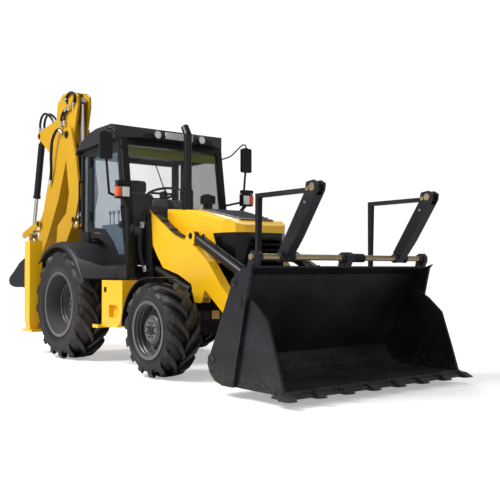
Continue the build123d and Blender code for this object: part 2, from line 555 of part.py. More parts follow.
def stabilizers():
    """Vertical legs that slide down out of the housings, each on a foot pad."""
    inset = LEG_WALL + RUNNER_GAP
    leg = block(LEG_HOUSE_X0 + inset, LEG_HOUSE_X1 - inset, LEG_HOUSE_Y0 + inset, LEG_HOUSE_Y1 - inset,
                LEG_PAD_Z + 30, LEG_HOUSE_Z1 - LEG_WALL - 40)
    middle = (LEG_HOUSE_X0 + LEG_HOUSE_X1) / 2
    leg = leg + block(middle - 160, middle + 160, LEG_HOUSE_Y0 - 35, LEG_HOUSE_Y1, LEG_PAD_Z, LEG_PAD_Z + 30)
    save("stabilizer_left", leg)
    save("stabilizer_right", mirrored(leg))


def carriage():
    """Side-shift carriage: a back plate that hooks over both beams and carries the swing pin lugs."""
    y0, y1 = HOE_Y - 290, HOE_Y + 290
    back = FRAME_X0 - RUNNER_GAP
    low, high = LOW_BEAM_Z - RUNNER_GAP, HIGH_BEAM_Z + BEAM_H + RUNNER_GAP
    body = block(back - 50, back, y0, y1, low - 40, high + 40)
    for z0 in (low - 40, high):
        body = body + block(back - 50, FRAME_X1 - 20, y0, y1, z0, z0 + 40)
    for z0 in (SWING_LOW_Z, SWING_HIGH_Z):
        body = body + block(SWING_X, back, HOE_Y - SWING_LUG_R, HOE_Y + SWING_LUG_R, z0, z0 + SWING_LUG_T)
        body = body + Solid.make_cylinder(SWING_LUG_R, SWING_LUG_T, Plane((SWING_X, HOE_Y, z0)))
    pin_l = SWING_HIGH_Z + SWING_LUG_T - SWING_LOW_Z + 30
    return body + Solid.make_cylinder(SWING_PIN_R, pin_l, Plane((SWING_X, HOE_Y, SWING_LOW_Z - 15)))


BOOM_IN = DIPPER_HALF + SIDE_GAP + 1
BOOM_OUT = BOOM_IN + BOOM_PLATE_T
CHEEK_IN = BOOM_OUT + SIDE_GAP
CHEEK_OUT = CHEEK_IN + CHEEK_T


def pair(points, inner, outer, corner=0.0):
    """Two equal plates on both sides of the backhoe's middle plane, with corners of this radius."""
    spans = ((HOE_Y + inner, HOE_Y + outer), (HOE_Y - outer, HOE_Y - inner))
    first, second = [round_plate(points, corner, *s) if corner else plate(points, *s) for s in spans]
    return first + second


def hoe_pin(centre, radius, half):
    """Pin across the backhoe's middle plane."""
    return cross_pin(centre, radius, HOE_Y - half, HOE_Y + half)


def swing_post():
    """Swing post on the carriage's pin, with cheeks for the boom foot and lugs for the boom cylinder."""
    z0, z1 = SWING_LOW_Z + SWING_LUG_T + SIDE_GAP, SWING_HIGH_Z - SIDE_GAP
    behind = SWING_X - SWING_LUG_R - 20
    x, z = BOOM_FOOT
    cheek = [(behind, z0), (behind - 15, z0 + 130), (x - 95, z), (x - 65, z + 70), (x, z + 95), (x + 65, z + 60),
             (behind, z1)]
    base_x, base_z = BOOM_CYL_BASE
    lugs = [(behind + 40, z0 + 20), (base_x - 30, base_z - 65), (base_x - 60, base_z), (base_x, base_z + 55),
            (base_x + 60, base_z), (x, z1 - 5), (behind + 40, z1 - 5)]
    body = Solid.make_cylinder(SWING_LUG_R, z1 - z0, Plane((SWING_X, HOE_Y, z0)))
    body = body + block(behind - 10, SWING_X, HOE_Y - CHEEK_OUT, HOE_Y + CHEEK_OUT, z0, z1)
    body = body + pair(cheek, CHEEK_IN, CHEEK_OUT) + hoe_pin(BOOM_FOOT, BOOM_PIN_R, CHEEK_OUT + 8)
    body = body + clevis(BOOM_CYL_BASE, lugs, HOE_Y)
    return body - Solid.make_cylinder(SWING_PIN_R + PIN_GAP, 900, Plane((SWING_X, HOE_Y, 0)))


BOOM_FRONT = [(-1250, 720), (-880, 1150), (-680, 1450), (-400, 1800), (-290, 2100), (-400, 2550), (-560, 2980)]
BOOM_REAR = [(-680, 3000), (-790, 2900), (-690, 2560), (-600, 2100), (-680, 1850), (-860, 1740), (-945, 1690),
             (-955, 1610), (-980, 1450), (-1425, 860), (-1420, 760), (-1330, 705)]


def boom():
    """Curved boom of two plates with cover strips, open above for the dipper and its cylinder."""
    body = pair(BOOM_FRONT + BOOM_REAR, BOOM_IN, BOOM_OUT, 30)
    front = [(-1170, 800), (-870, 1150), (-670, 1450), (-520, 1640), (-550, 1660), (-705, 1465), (-900, 1175),
             (-1190, 840)]
    rear = [(-655, 1910), (-600, 2100), (-680, 2500), (-655, 2500), (-572, 2100), (-630, 1900)]
    body = body + plate(front, HOE_Y - BOOM_IN, HOE_Y + BOOM_IN) + plate(rear, HOE_Y - BOOM_IN, HOE_Y + BOOM_IN)
    body = body + hoe_pin(BOOM_TOP, BOOM_PIN_R, BOOM_OUT + 8) + hoe_pin(DIPPER_CYL_BASE, CYL_PIN_R, BOOM_OUT + 6)
    return body - hoe_pin(BOOM_FOOT, BOOM_PIN_R + PIN_GAP, 400)


DIPPER = [(-560, 2790), (-430, 3250), (-440, 3390), (-560, 3460), (-880, 3480), (-1040, 3380), (-1120, 2950),
          (-1290, 2450), (-1495, 1920), (-1595, 1800), (-1620, 1745), (-1625, 1690), (-1645, 1560), (-1680, 1400),
          (-1600, 1310), (-1510, 1340), (-1330, 1560), (-1000, 2050), (-770, 2560), (-775, 2880), (-680, 2790)]


def dipper():
    """Box dipper with a forked crown for its cylinder and a rear bracket for the bucket cylinder."""
    body = round_plate(DIPPER, 25, HOE_Y - DIPPER_HALF, HOE_Y + DIPPER_HALF)
    slot = [(-575, 2700), (-575, 3030), (-690, 3130), (-690, 3400), (-560, 3500), (-300, 3600), (-300, 2700)]
    body = body - plate(slot, HOE_Y - DIPPER_SLOT, HOE_Y + DIPPER_SLOT)
    base_x, base_z = HOE_CYL_BASE
    bracket = [(-1050, 3200), (base_x - 20, base_z + 60), (base_x - 55, base_z + 35), (base_x - 60, base_z),
               (base_x - 35, base_z - 45), (base_x + 20, base_z - 60), (-1220, 2620)]
    body = body + clevis(HOE_CYL_BASE, bracket, HOE_Y)
    body = body + hoe_pin(GUIDE_PIN, LINK_PIN_R, GUIDE_IN + LINK_T + 8)
    for centre, radius in ((BOOM_TOP, BOOM_PIN_R), (HOE_PIN, HOE_PIN_R)):
        body = body - hoe_pin(centre, radius + PIN_GAP, 400)
    return body


EAR_IN = DIPPER_HALF + SIDE_GAP
EAR_OUT = EAR_IN + LINK_T
GUIDE_IN = EAR_OUT + SIDE_GAP
PUSH_IN = CYL_EYE_W / 2 + SIDE_GAP
PUSH_OUT = PUSH_IN + LINK_T


def link_outline(start, end, radius):
    """Flat link outline with pointed round ends between two pins."""
    turn = math.atan2(end[1] - start[1], end[0] - start[0])
    points = []
    for centre, first in ((end, -90), (start, 90)):
        for step in range(0, 181, 30):
            a = turn + math.radians(first + step)
            points.append((centre[0] + radius * math.cos(a), centre[1] + radius * math.sin(a)))
    return points


def hoe_links():
    """Guide links on the dipper and the push link on the bucket."""
    guide = pair(link_outline(GUIDE_PIN, LINK_JOINT, 46), GUIDE_IN, GUIDE_IN + LINK_T)
    mid = along(GUIDE_PIN, LINK_JOINT, 330)
    guide = guide + hoe_pin(mid, 20, GUIDE_IN)
    save("guide_links", guide - hoe_pin(GUIDE_PIN, LINK_PIN_R + PIN_GAP, 400))
    push = pair(link_outline(LINK_JOINT, BUCKET_LINK_PIN, 44), PUSH_IN, PUSH_OUT)
    mid = along(BUCKET_LINK_PIN, LINK_JOINT, 110)
    push = push + hoe_pin(mid, 22, PUSH_IN)
    save("push_link", push - hoe_pin(BUCKET_LINK_PIN, LINK_PIN_R + PIN_GAP, 400))


HOE_SHELL = [(-1690, 1270), (-1905, 1190), (-2165, 1035), (-2255, 995), (-2300, 935), (-2265, 875),
             (-2150, 845), (-2000, 835), (-1800, 845), (-1640, 880)]
HOE_SHELL_T = 22.0


def hoe_bucket():
    """Digging bucket: curved shell, two sides, ears for the pins and teeth on the lip."""
    inner = grow(HOE_SHELL, -HOE_SHELL_T)
    shell = plate(HOE_SHELL + inner[::-1], HOE_Y - HOE_BUCKET_HALF, HOE_Y + HOE_BUCKET_HALF)
    side = pair(HOE_SHELL, HOE_BUCKET_HALF - 20, HOE_BUCKET_HALF)
    x, z = HOE_PIN
    ear = [(-1700, 1250), (x - 50, z - 50), (x + 45, z - 40), (x + 50, z + 30), (x, z + 58),
           (BUCKET_LINK_PIN[0] + 10, BUCKET_LINK_PIN[1] + 50),
           (BUCKET_LINK_PIN[0] - 45, BUCKET_LINK_PIN[1] + 20), (-2000, 1118)]
    body = shell + side + pair(ear, EAR_IN, EAR_OUT)
    body = body + hoe_pin(HOE_PIN, HOE_PIN_R, EAR_OUT + 6) + hoe_pin(BUCKET_LINK_PIN, LINK_PIN_R, EAR_OUT + 4)
    lip_x, lip_z = HOE_SHELL[-1]
    tooth = [(lip_x - 120, lip_z - 45), (lip_x, lip_z - 20), (lip_x + 80, lip_z + 25), (lip_x, lip_z + 25),
             (lip_x - 120, lip_z)]
    step = (2 * HOE_BUCKET_HALF - HOE_TOOTH_W) / (HOE_TOOTH_COUNT - 1)
    for i in range(HOE_TOOTH_COUNT):
        y = HOE_Y - HOE_BUCKET_HALF + i * step
        body = body + plate(tooth, y, y + HOE_TOOTH_W)
    return body


def hoe_cylinders():
    """Boom, dipper and bucket cylinders in the backhoe's middle plane."""
    for name, base, tip, share, travel_in in (
            ("boom", BOOM_CYL_BASE, BOOM_CYL_EYE, 0.6, 320.0),
            ("dipper", DIPPER_CYL_BASE, DIPPER_CYL_EYE, 0.56, 635.0),
            ("hoe", HOE_CYL_BASE, LINK_JOINT, 0.62, 300.0)):
        barrel, bar = cylinder_parts(base, tip, HOE_BARREL_R, HOE_ROD_R, HOE_Y, share, travel_in)
        save(f"{name}_barrel", barrel)
        save(f"{name}_rod", bar)


# Body panels

HOOD_FOOT, HOOD_BROW = (2457, 1164), (2315, 1480)
HOOD = [(1400, 1790), (1400, 1600), (1600, 1456), (1800, 1440), (1900, 1164), HOOD_FOOT, HOOD_BROW,
        (2715, 1480), (2680, 1560), (2560, 1620), (2000, 1745)]
HOOD_SIDE_GAP = 58.0      # between the hood's side and the tilt cylinder beside it
HOOD_HALF = ARM_Y - TILT_BARREL_R - HOOD_SIDE_GAP
HOOD_WALL, HOOD_EDGE_R = 25.0, 45.0
GRILLE = [HOOD_BROW, HOOD_FOOT, (2520, 1110), (2600, 1090), (2680, 1090), (2730, 1430), (2715, 1480)]
GRILLE_SLATS, SLAT_Z, SLAT_PITCH, SLAT_GAP = 5, 1140.0, 58.0, 30.0


def nose_plan(inset):
    """Upright block with the hood's plan: straight sides and a nose that narrows in two steps."""
    half = HOOD_HALF - inset
    corner = [(2480, half), (2640, half - 50), (2735 - inset, half - 175)]
    plan = [(1300, -half), *[(x, -y) for x, y in corner], *corner[::-1], (1300, half)]
    face = Face(Wire.make_polygon([Vector(x, y, 900) for x, y in plan], close=True))
    return Solid.extrude(face, Vector(0, 0, 1000))


def hood():
    """Engine hood, a shell open below, with rounded shoulders and deep side panels."""
    shell = plate(HOOD, -HOOD_HALF, HOOD_HALF)
    tops = [e for e in shell.edges() if abs(abs(e.center().Y) - HOOD_HALF) < 1 and e.center().Z > 1670]
    shell = shell.fillet(HOOD_EDGE_R, tops) & nose_plan(0)
    inside = [(1440, 1740), (1440, 1620), (1620, 1100), (2420, 1100), (2285, 1455), (2640, 1455), (2640, 1540),
              (2550, 1592), (2000, 1718)]
    room = plate(inside, -HOOD_HALF + HOOD_WALL, HOOD_HALF - HOOD_WALL) & nose_plan(HOOD_WALL)
    return shell - room


def front_grille():
    """Nose grille with slats across its front, standing on the front of the rails."""
    inside = [(2400, 1455), (2500, 1200), (2560, 1130), (2640, 1120), (2680, 1430)]
    body = plate(GRILLE, -HOOD_HALF, HOOD_HALF) & nose_plan(0)
    room = plate(inside, -HOOD_HALF + HOOD_WALL, HOOD_HALF - HOOD_WALL) & nose_plan(HOOD_WALL)
    body = body - room
    half = HOOD_HALF - 190
    for i in range(GRILLE_SLATS):
        z = SLAT_Z + i * SLAT_PITCH
        body = body - block(2600, 2800, -half, half, z, z + SLAT_GAP)
    return body + block(RAIL_X1 - 60, RAIL_X1, -RAIL_Y1, RAIL_Y1, RAIL_Z1, 1110)


def stacks():
    """Exhaust stack and air pre-cleaner on the hood."""
    x, y = 1735.0, -315.0
    pipe = rod((x, y, 1700), (x, y, 2610), 45) + rod((x, y, 2600), (x - 60, y, 2700), 45)
    pipe = pipe + Solid.make_cylinder(62, 260, Plane((x, y, 1720)))
    cleaner = Solid.make_cylinder(55, 180, Plane((1540, 100, 1700)))
    cleaner = cleaner + Solid.make_cylinder(85, 90, Plane((1540, 100, 1860)))
    hood_mass = plate(HOOD, -HOOD_HALF, HOOD_HALF)
    parts = [s for whole in (pipe, cleaner) for s in (whole - hood_mass).solids()]
    return Compound(children=[s for s in parts if s.bounding_box().max.Z > 1850])


CAB_SIDE = [(-80, 1480), (-80, 2590), (960, 2640), (1180, 1150), (860, 1150), (760, 1250), (600, 1400), (400, 1480)]
DOOR = [(190, 1560), (190, 2540), (908, 2540), (1104, 1215), (860, 1215), (700, 1390), (520, 1530)]
DOOR_FRAME, DOOR_GAP, DOOR_T = 55.0, 6.0, 40.0
QUARTER = [(-20, 1560), (105, 1560), (105, 2530), (-20, 2520)]
CAB_IN = CAB_HALF - CAB_WALL
ROOF_OUT = 50.0           # how far the roof stands out over the cab's side
ROOF_LIP_X, ROOF_LIP_Z = -95.0, 2545.0
ARCH_Y, ARCH_WALL = 600.0, 15.0
FLOOR_TOP = CAB_FLOOR_Z + 40
SCREEN_HALF, SCREEN_Z0, SCREEN_Z1 = 640.0, 1450.0, 2560.0
SCREEN_DEPTH = 20.0       # windscreen behind the front of its posts
REAR_GLASS_Z0, REAR_GLASS_Z1 = 1560.0, 2500.0
DOOR_Y1 = CAB_HALF + 4
DOOR_HINGE = (DOOR[0][0] - DOOR_GAP / 2, DOOR_Y1 + 12)
HINGE_Z, HINGE_L, HINGE_PIN_R = (1700.0, 2380.0), 90.0, 6.0


def cab_frame():
    """Hollow cab: one shell with door and window openings, a floor and narrow walls beside the wheel arches."""
    low = [(-80, CAB_FLOOR_Z), (860, CAB_FLOOR_Z), (760, 1250), (600, 1400), (400, 1480), (-80, 1480)]
    low_in = [(-30, FLOOR_TOP), (875, FLOOR_TOP), (772, 1262), (606, 1414), (404, 1500), (-30, 1500)]
    high_in = [(-30, 1492), (-30, 2550), (915, 2595), (1124, FLOOR_TOP), (870, FLOOR_TOP), (772, 1260),
               (606, 1412), (404, 1492)]
    body = plate(CAB_SIDE, -CAB_HALF, CAB_HALF) + plate(low, -ARCH_Y - ARCH_WALL, ARCH_Y + ARCH_WALL)
    body = body - plate(high_in, -CAB_IN, CAB_IN) - plate(low_in, -ARCH_Y, ARCH_Y)
    body = body - block(860, 1300, -SCREEN_HALF, SCREEN_HALF, SCREEN_Z0, SCREEN_Z1)
    body = body - block(-200, 0, -SCREEN_HALF, SCREEN_HALF, REAR_GLASS_Z0, REAR_GLASS_Z1)
    for outline in (grow(DOOR, DOOR_GAP), QUARTER):
        body = body - plate(outline, -CAB_HALF - 1, -CAB_IN + 1) - plate(outline, CAB_IN - 1, CAB_HALF + 1)
    lugs = []
    for z in HINGE_Z:
        bracket = Solid.make_cylinder(HINGE_PIN_R, HINGE_L + 20, Plane((*DOOR_HINGE, z - 10)))
        for low_z in (z - 18, z + HINGE_L + 0.5):
            x0 = DOOR_HINGE[0] - 22
            bracket = bracket + block(x0, DOOR_HINGE[0], CAB_HALF - 5, DOOR_HINGE[1] + 11, low_z, low_z + 17.5)
            bracket = bracket + Solid.make_cylinder(11, 17.5, Plane((*DOOR_HINGE, low_z)))
        lugs += [bracket, mirrored(bracket)]
    for bracket in lugs:
        body = body + bracket
    return body


def cab_roof():
    """Roof panel with chamfered front corners, a domed top and a lip that drops behind the cab."""
    slope = (CAB_SIDE[2][1] - CAB_SIDE[1][1]) / (CAB_SIDE[2][0] - CAB_SIDE[1][0])
    under = [(x, CAB_SIDE[1][1] + slope * (x - CAB_SIDE[1][0])) for x in (ROOF_LIP_X, 1080.0)]
    crown = [(1085, 2700), (1030, 2765), (800, 2815), (420, 2806), (200, 2764), (20, 2692), (-90, 2615)]
    lip = [(ROOF_LIP_X - 50, ROOF_LIP_Z), (ROOF_LIP_X, ROOF_LIP_Z)]
    profile = plate([*under, *crown, *lip], -900, 900)
    side, nose, rear = CAB_HALF + ROOF_OUT, CAB_HALF - 240, ROOF_LIP_X - 60
    plan = [(1090, -nose), (1090, nose), (900, side), (rear, side), (rear, -side), (900, -side)]
    face = Face(Wire.make_polygon([Vector(x, y, 2400) for x, y in plan], close=True))
    return profile & Solid.extrude(face, Vector(0, 0, 600))


def cab_glass():
    """Windscreen, rear window and quarter windows."""
    top, foot = CAB_SIDE[2], CAB_SIDE[3]
    pane = []
    near, far = SCREEN_DEPTH, SCREEN_DEPTH + GLASS_T
    for z, depth in ((SCREEN_Z0, near), (SCREEN_Z1, near), (SCREEN_Z1, far), (SCREEN_Z0, far)):
        pane.append((foot[0] + (top[0] - foot[0]) * (z - foot[1]) / (top[1] - foot[1]) - depth, z))
    screen = plate(pane, -SCREEN_HALF, SCREEN_HALF)
    rear = block(-60, -60 + GLASS_T, -SCREEN_HALF, SCREEN_HALF, REAR_GLASS_Z0, REAR_GLASS_Z1)
    quarter = plate(QUARTER, CAB_HALF - 30, CAB_HALF - 30 + GLASS_T)
    return Compound(children=[*screen.solids(), *rear.solids(), *quarter.solids(), *mirrored(quarter).solids()])


def doors():
    """Glazed doors on vertical hinges at their rear edges."""
    pane = grow(DOOR, -DOOR_FRAME)
    frame = plate(DOOR, DOOR_Y1 - DOOR_T, DOOR_Y1) - plate(pane, DOOR_Y1 - DOOR_T - 1, DOOR_Y1 + 1)
    for z in HINGE_Z:
        frame = frame + Solid.make_cylinder(12, HINGE_L, Plane((*DOOR_HINGE, z)))
        frame = frame + block(DOOR_HINGE[0], DOOR_HINGE[0] + 40, DOOR_Y1, DOOR_HINGE[1] + 8, z, z + HINGE_L)
        frame = frame - Solid.make_cylinder(HINGE_PIN_R + PIN_GAP, HINGE_L + 20, Plane((*DOOR_HINGE, z - 10)))
    glass = plate(pane, DOOR_Y1 - DOOR_T / 2 - GLASS_T / 2, DOOR_Y1 - DOOR_T / 2 + GLASS_T / 2)
    for name, shape in (("door", frame), ("door_glass", glass)):
        save(f"{name}_left", shape)
        save(f"{name}_right", mirrored(shape))


def seat():
    """Driver's seat on a pedestal."""
    floor = FLOOR_TOP
    body = block(180, 480, -170, 170, floor, floor + 320) + block(100, 600, -250, 250, floor + 320, floor + 440)
    return body + plate([(90, floor + 400), (190, floor + 400), (110, floor + 1080), (30, floor + 1080)], -230, 230)


WHEEL_R, WHEEL_GRIP_R, WHEEL_TILT = 190.0, 16.0, 16.3


def controls():
    """Steering column with its wheel."""
    floor = FLOOR_TOP
    column = rod((960, 0, floor - 5), (720, 0, 2010), 45) - block(0, 2000, -400, 400, 0, floor)
    turns = [math.radians(a) for a in range(0, 360, 45)]
    ring = faceted_ring([(WHEEL_GRIP_R * math.sin(a), WHEEL_R + WHEEL_GRIP_R * math.cos(a)) for a in turns], 40)
    ring = ring.rotate(Axis.X, 90).rotate(Axis.Y, -WHEEL_TILT).moved(Location((705, 0, 2040)))
    spoke = rod((705, -185, 2040), (705, 185, 2040), 14) + rod((725, 0, 2000), (700, 0, 2050), 40)
    return column + ring + spoke


FENDER_IN, FENDER_T, FENDER_OUT = 760.0, 12.0, 15.0
VALANCE_Z0, VALANCE_Z1 = 990.0, 1140.0
TANK_TYRE_GAP = 285.0     # between the side tank and the front tyre


def rear_fenders():
    """Rear mudguards over the wheels, with a valance in front of each."""
    centre = (0.0, REAR_HUB_Z)
    y0, y1 = ARCH_Y + ARCH_WALL, REAR_WHEEL_Y + REAR_TYRE_W / 2 + FENDER_OUT
    outer = [(y0, 0), (y1 - 80, 0), (y1 - 30, -14), (y1 - 6, -38), (y1, -72)]
    inner = [(y1 - FENDER_T, -72), (y1 - 18, -46), (y1 - 36, -25), (y1 - 82, -FENDER_T), (y0, -FENDER_T)]
    crown = FENDER_IN + FENDER_T
    section = Face(Wire.make_polygon([Vector(crown + r, y, 0) for y, r in outer + inner], close=True))
    ring = Solid.revolve(section, 360, Axis.Y).moved(Location((0, 0, REAR_HUB_Z)))
    keep = plate([(-300, 1080), (-540, 1180), (-540, 1600), (900, 1600), (900, 960), (600, 960)], 0, 2000)
    arch = ring & keep
    valance = block(700, 1280, CAB_HALF + 6, CAB_HALF + 110, VALANCE_Z0, VALANCE_Z1)
    arch = arch + (valance - cross_pin(centre, FENDER_IN, 0, 2000))
    return both_sides(arch)


def step_tanks():
    """Side tanks under the cab with an entry step."""
    front = WHEELBASE - FRONT_TYRE_R - TANK_TYRE_GAP
    tank = plate([(930, 450), (front - 110, 450), (front - 35, 520), (front, 640), (front, 975), (930, 975)], 600, 950)
    tank = tank - block(front - 300, front - 100, 900, 951, 560, 700)
    for x in (960, 1110):
        tank = tank + block(x, x + 60, RAIL_Y1, 600, 850, 920)
    tank = tank + block(800, 930, 820, 1000, 430, 470)
    return both_sides(tank)


def lamps():
    """Front lamp posts with headlamp and indicator housings, and two lamps in the roof's front."""
    y = CAB_HALF + 70
    post = rod((1235, y, VALANCE_Z1), (1235, y, 1800), 22) + rod((1235, y, 1790), (1270, y + 90, 1910), 22)
    post = post - block(0, 2000, 0, 2000, 0, VALANCE_Z1)
    head = block(1240, 1310, y + 10, y + 170, 1890, 2040) + block(1250, 1320, y + 10, y + 170, 2046, 2090)
    head = head + block(1240, 1260, y + 70, y + 110, 2030, 2060)
    roof_lamp = rod((1040, 317, 2690), (1110, 317, 2690), 55) - cab_roof()
    return both_sides(Compound(children=[*(post + head).solids(), *roof_lamp.solids()]))


def mirrors():
    """Door mirrors on bent tubes from the front posts."""
    y = CAB_HALF + 240
    tube = rod((1036, CAB_HALF - 10, 1900), (1110, y, 1960), 14) - block(900, 1200, 0, CAB_HALF, 1800, 2000)
    tube = tube + rod((1110, y, 1950), (1110, y + 50, 2480), 14)
    head = block(1090, 1130, y - 30, y + 125, 2340, 2650)
    head = head.fillet(24, head.edges().filter_by(Axis.X))
    return both_sides(tube + head)


def main():
    """Builds and writes every node."""
    os.makedirs("parts", exist_ok=True)
    wheels()
    knuckle = knuckles()
    save("knuckle_left", knuckle)
    save("knuckle_right", mirrored(knuckle))
    loader_cylinders()
    forks()
    stabilizers()
    hoe_cylinders()
    hoe_links()
    doors()
    for node in (chassis_frame, engine_block, rear_axle, front_axle, loader_arms, bucket_back, bucket_jaw,
                 fork_shaft, rear_frame, carriage, swing_post, boom, dipper, hoe_bucket, hood, front_grille, stacks,
                 cab_frame, cab_roof, cab_glass, seat, controls, rear_fenders, step_tanks, lamps, mirrors):
        save(node.__name__, node())


if __name__ == "__main__":
    main()
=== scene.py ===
import json
import math
from collections import defaultdict
import bmesh
import bpy
from mathutils import Matrix, Vector


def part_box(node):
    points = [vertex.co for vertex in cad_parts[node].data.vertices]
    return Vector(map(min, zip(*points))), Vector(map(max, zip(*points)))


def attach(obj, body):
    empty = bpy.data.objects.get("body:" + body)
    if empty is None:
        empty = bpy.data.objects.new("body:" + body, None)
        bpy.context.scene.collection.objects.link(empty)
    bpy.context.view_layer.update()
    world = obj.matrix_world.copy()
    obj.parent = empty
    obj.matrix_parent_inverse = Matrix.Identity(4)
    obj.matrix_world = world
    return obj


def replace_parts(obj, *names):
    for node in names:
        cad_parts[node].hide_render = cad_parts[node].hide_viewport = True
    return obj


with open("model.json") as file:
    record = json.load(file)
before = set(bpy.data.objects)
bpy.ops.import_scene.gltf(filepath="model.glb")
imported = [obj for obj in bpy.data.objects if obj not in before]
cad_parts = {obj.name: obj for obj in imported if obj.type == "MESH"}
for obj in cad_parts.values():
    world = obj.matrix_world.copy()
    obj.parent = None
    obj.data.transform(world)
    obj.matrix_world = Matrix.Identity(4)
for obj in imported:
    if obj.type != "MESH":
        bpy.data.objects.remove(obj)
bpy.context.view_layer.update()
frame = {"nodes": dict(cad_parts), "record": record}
NODES = frame["nodes"]

# Places in metres, with X counted from the rear axle
AXLE_X = -1.063
HOE_Y = -0.5
LOADER_Y = 0.495
FORK_Y, FORK_HALF = 0.74, 0.048
TILT_BASE, TILT_TIP = (2.13, 1.452), (3.358, 0.881)
DIG_BASE, DIG_TIP = (-1.77, 3.03), (-2.079, 1.596)
SIDES = (("left", 1.0), ("right", -1.0))


def at(x, y, z):
    """A point with X from the rear axle, in the frame."""
    return Vector((x + AXLE_X, y, z))


# Node trees

class Tree:
    """Short calls to add and join the nodes of one tree."""

    def __init__(self, tree):
        self.tree = tree

    def add(self, kind, inputs=None, **settings):
        node = self.tree.nodes.new("ShaderNode" + kind)
        for key, value in settings.items():
            setattr(node, key, value)
        for key, value in (inputs or {}).items():
            self.join(node.inputs[key], value)
        return node

    def join(self, socket, value):
        if isinstance(value, bpy.types.NodeSocket):
            self.tree.links.new(value, socket)
        else:
            socket.default_value = value

    def math(self, operation, a, b=0.5, clamp=False):
        return self.add("Math", {0: a, 1: b}, operation=operation, use_clamp=clamp).outputs[0]

    def mix(self, share, a, b):
        node = self.add("Mix", data_type="RGBA")
        for index, value in ((0, share), (6, a), (7, b)):
            self.join(node.inputs[index], value)
        return node.outputs[2]

    def rise(self, value, low, high):
        """0 at low, 1 at high, smooth between."""
        node = self.add("MapRange", {0: value, 1: low, 2: high}, interpolation_type="SMOOTHSTEP")
        return node.outputs[0]

    def place(self):
        return self.add("TexCoord").outputs["Object"]

    def noise(self, scale, detail=4.0, rough=0.55, stretch=None):
        where = self.place()
        if stretch:
            where = self.add("Mapping", {"Vector": where, "Scale": stretch}).outputs[0]
        settings = {"Vector": where, "Scale": scale, "Detail": detail, "Roughness": rough}
        return self.add("TexNoise", settings).outputs[0]

    def bump(self, height, strength, distance):
        return self.add("Bump", {"Height": height, "Strength": strength, "Distance": distance}).outputs[0]

    def use(self, group, **inputs):
        """Places a shared effect; its inputs are given by name."""
        node = self.tree.nodes.new("ShaderNodeGroup")
        node.node_tree = group
        for key, value in inputs.items():
            self.join(node.inputs[key.title()], value)
        return node.outputs[0]


FLOAT, COLOR, VECTOR = "NodeSocketFloat", "NodeSocketColor", "NodeSocketVector"


def effect(name, inputs, output):
    """An empty shared node group: its tree, the sockets that it is given and the socket that it fills."""
    group = bpy.data.node_groups.new(name, "ShaderNodeTree")
    for label, kind, value in inputs:
        group.interface.new_socket(label, in_out="INPUT", socket_type=kind).default_value = value
    group.interface.new_socket(output[0], in_out="OUTPUT", socket_type=output[1])
    given = group.nodes.new("NodeGroupInput").outputs
    return Tree(group), given, group.nodes.new("NodeGroupOutput").inputs[0]


def mottle_effect():
    """A colour made a little paler and darker in broad soft patches."""
    inputs = [("Color", COLOR, (1, 1, 1, 1)), ("Depth", FLOAT, 0.1)]
    t, given, out = effect("mottle", inputs, ("Color", COLOR))
    broad = t.math("MULTIPLY", t.noise(2.6, 5.0), 1.4)
    fine = t.math("MULTIPLY", t.noise(45.0, 3.0), 0.6)
    shade = t.math("ADD", broad, fine)
    shift = t.math("MULTIPLY", t.math("SUBTRACT", shade, 1.0), given["Depth"])
    shaded = t.add("HueSaturation", {"Color": given["Color"], "Value": t.math("ADD", 1.0, shift)})
    t.join(out, shaded.outputs[0])
    return t.tree


def wear_effect():
    """Mask of the edges that rub bare, broken up by noise."""
    inputs = [("Radius", FLOAT, 0.006), ("Amount", FLOAT, 0.5)]
    t, given, out = effect("edge_wear", inputs, ("Mask", FLOAT))
    soft = t.add("Bevel", {"Radius": given["Radius"]}, samples=4).outputs[0]
    flat = t.add("NewGeometry").outputs["Normal"]
    turn = t.add("VectorMath", {0: soft, 1: flat}, operation="DOT_PRODUCT").outputs["Value"]
    edge = t.math("MULTIPLY", t.rise(turn, 0.985, 0.88), t.rise(t.noise(18.0, 6.0), 0.46, 0.6))
    t.join(out, t.math("MULTIPLY", edge, given["Amount"]))
    return t.tree


def dust_effect():
    """Mask of the dust that lies low on the machine, on faces that look up and in patches."""
    inputs = [("Top", FLOAT, 1.0), ("Amount", FLOAT, 0.3)]
    t, given, out = effect("road_dust", inputs, ("Mask", FLOAT))
    height = t.add("SeparateXYZ", {0: t.place()}).outputs[2]
    up = t.add("SeparateXYZ", {0: t.add("NewGeometry").outputs["Normal"]}).outputs[2]
    nearness = t.rise(height, given["Top"], 0.05)
    splashed = t.math("MULTIPLY", nearness, t.rise(t.noise(34.0, 6.0, 0.65), 0.36, 0.68))
    lying = t.math("MULTIPLY", t.rise(up, 0.3, 1.0), t.rise(t.noise(3.4, 5.0), 0.35, 0.75))
    spread = t.math("ADD", t.math("MULTIPLY", lying, 0.5), splashed, clamp=True)
    t.join(out, t.math("MULTIPLY", spread, given["Amount"], clamp=True))
    return t.tree


def grain_effect():
    """Normal with a fine even grain, such as orange peel or moulded plastic."""
    inputs = [("Scale", FLOAT, 400.0), ("Strength", FLOAT, 0.1), ("Distance", FLOAT, 0.001)]
    t, given, out = effect("grain", inputs, ("Normal", VECTOR))
    noise = t.add("TexNoise", {"Vector": t.place(), "Scale": given["Scale"], "Detail": 2.0}).outputs[0]
    t.join(out, t.bump(noise, given["Strength"], given["Distance"]))
    return t.tree


MOTTLE, WEAR, DUST, GRAIN = mottle_effect(), wear_effect(), dust_effect(), grain_effect()
DUST_COLOR = (0.3, 0.25, 0.19, 1.0)
RUST_COLOR = (0.13, 0.075, 0.04, 1.0)
SCRAPED_COLOR = (0.1, 0.11, 0.13, 1.0)
PRIMER_COLOR = (0.13, 0.12, 0.11, 1.0)


# Finishes

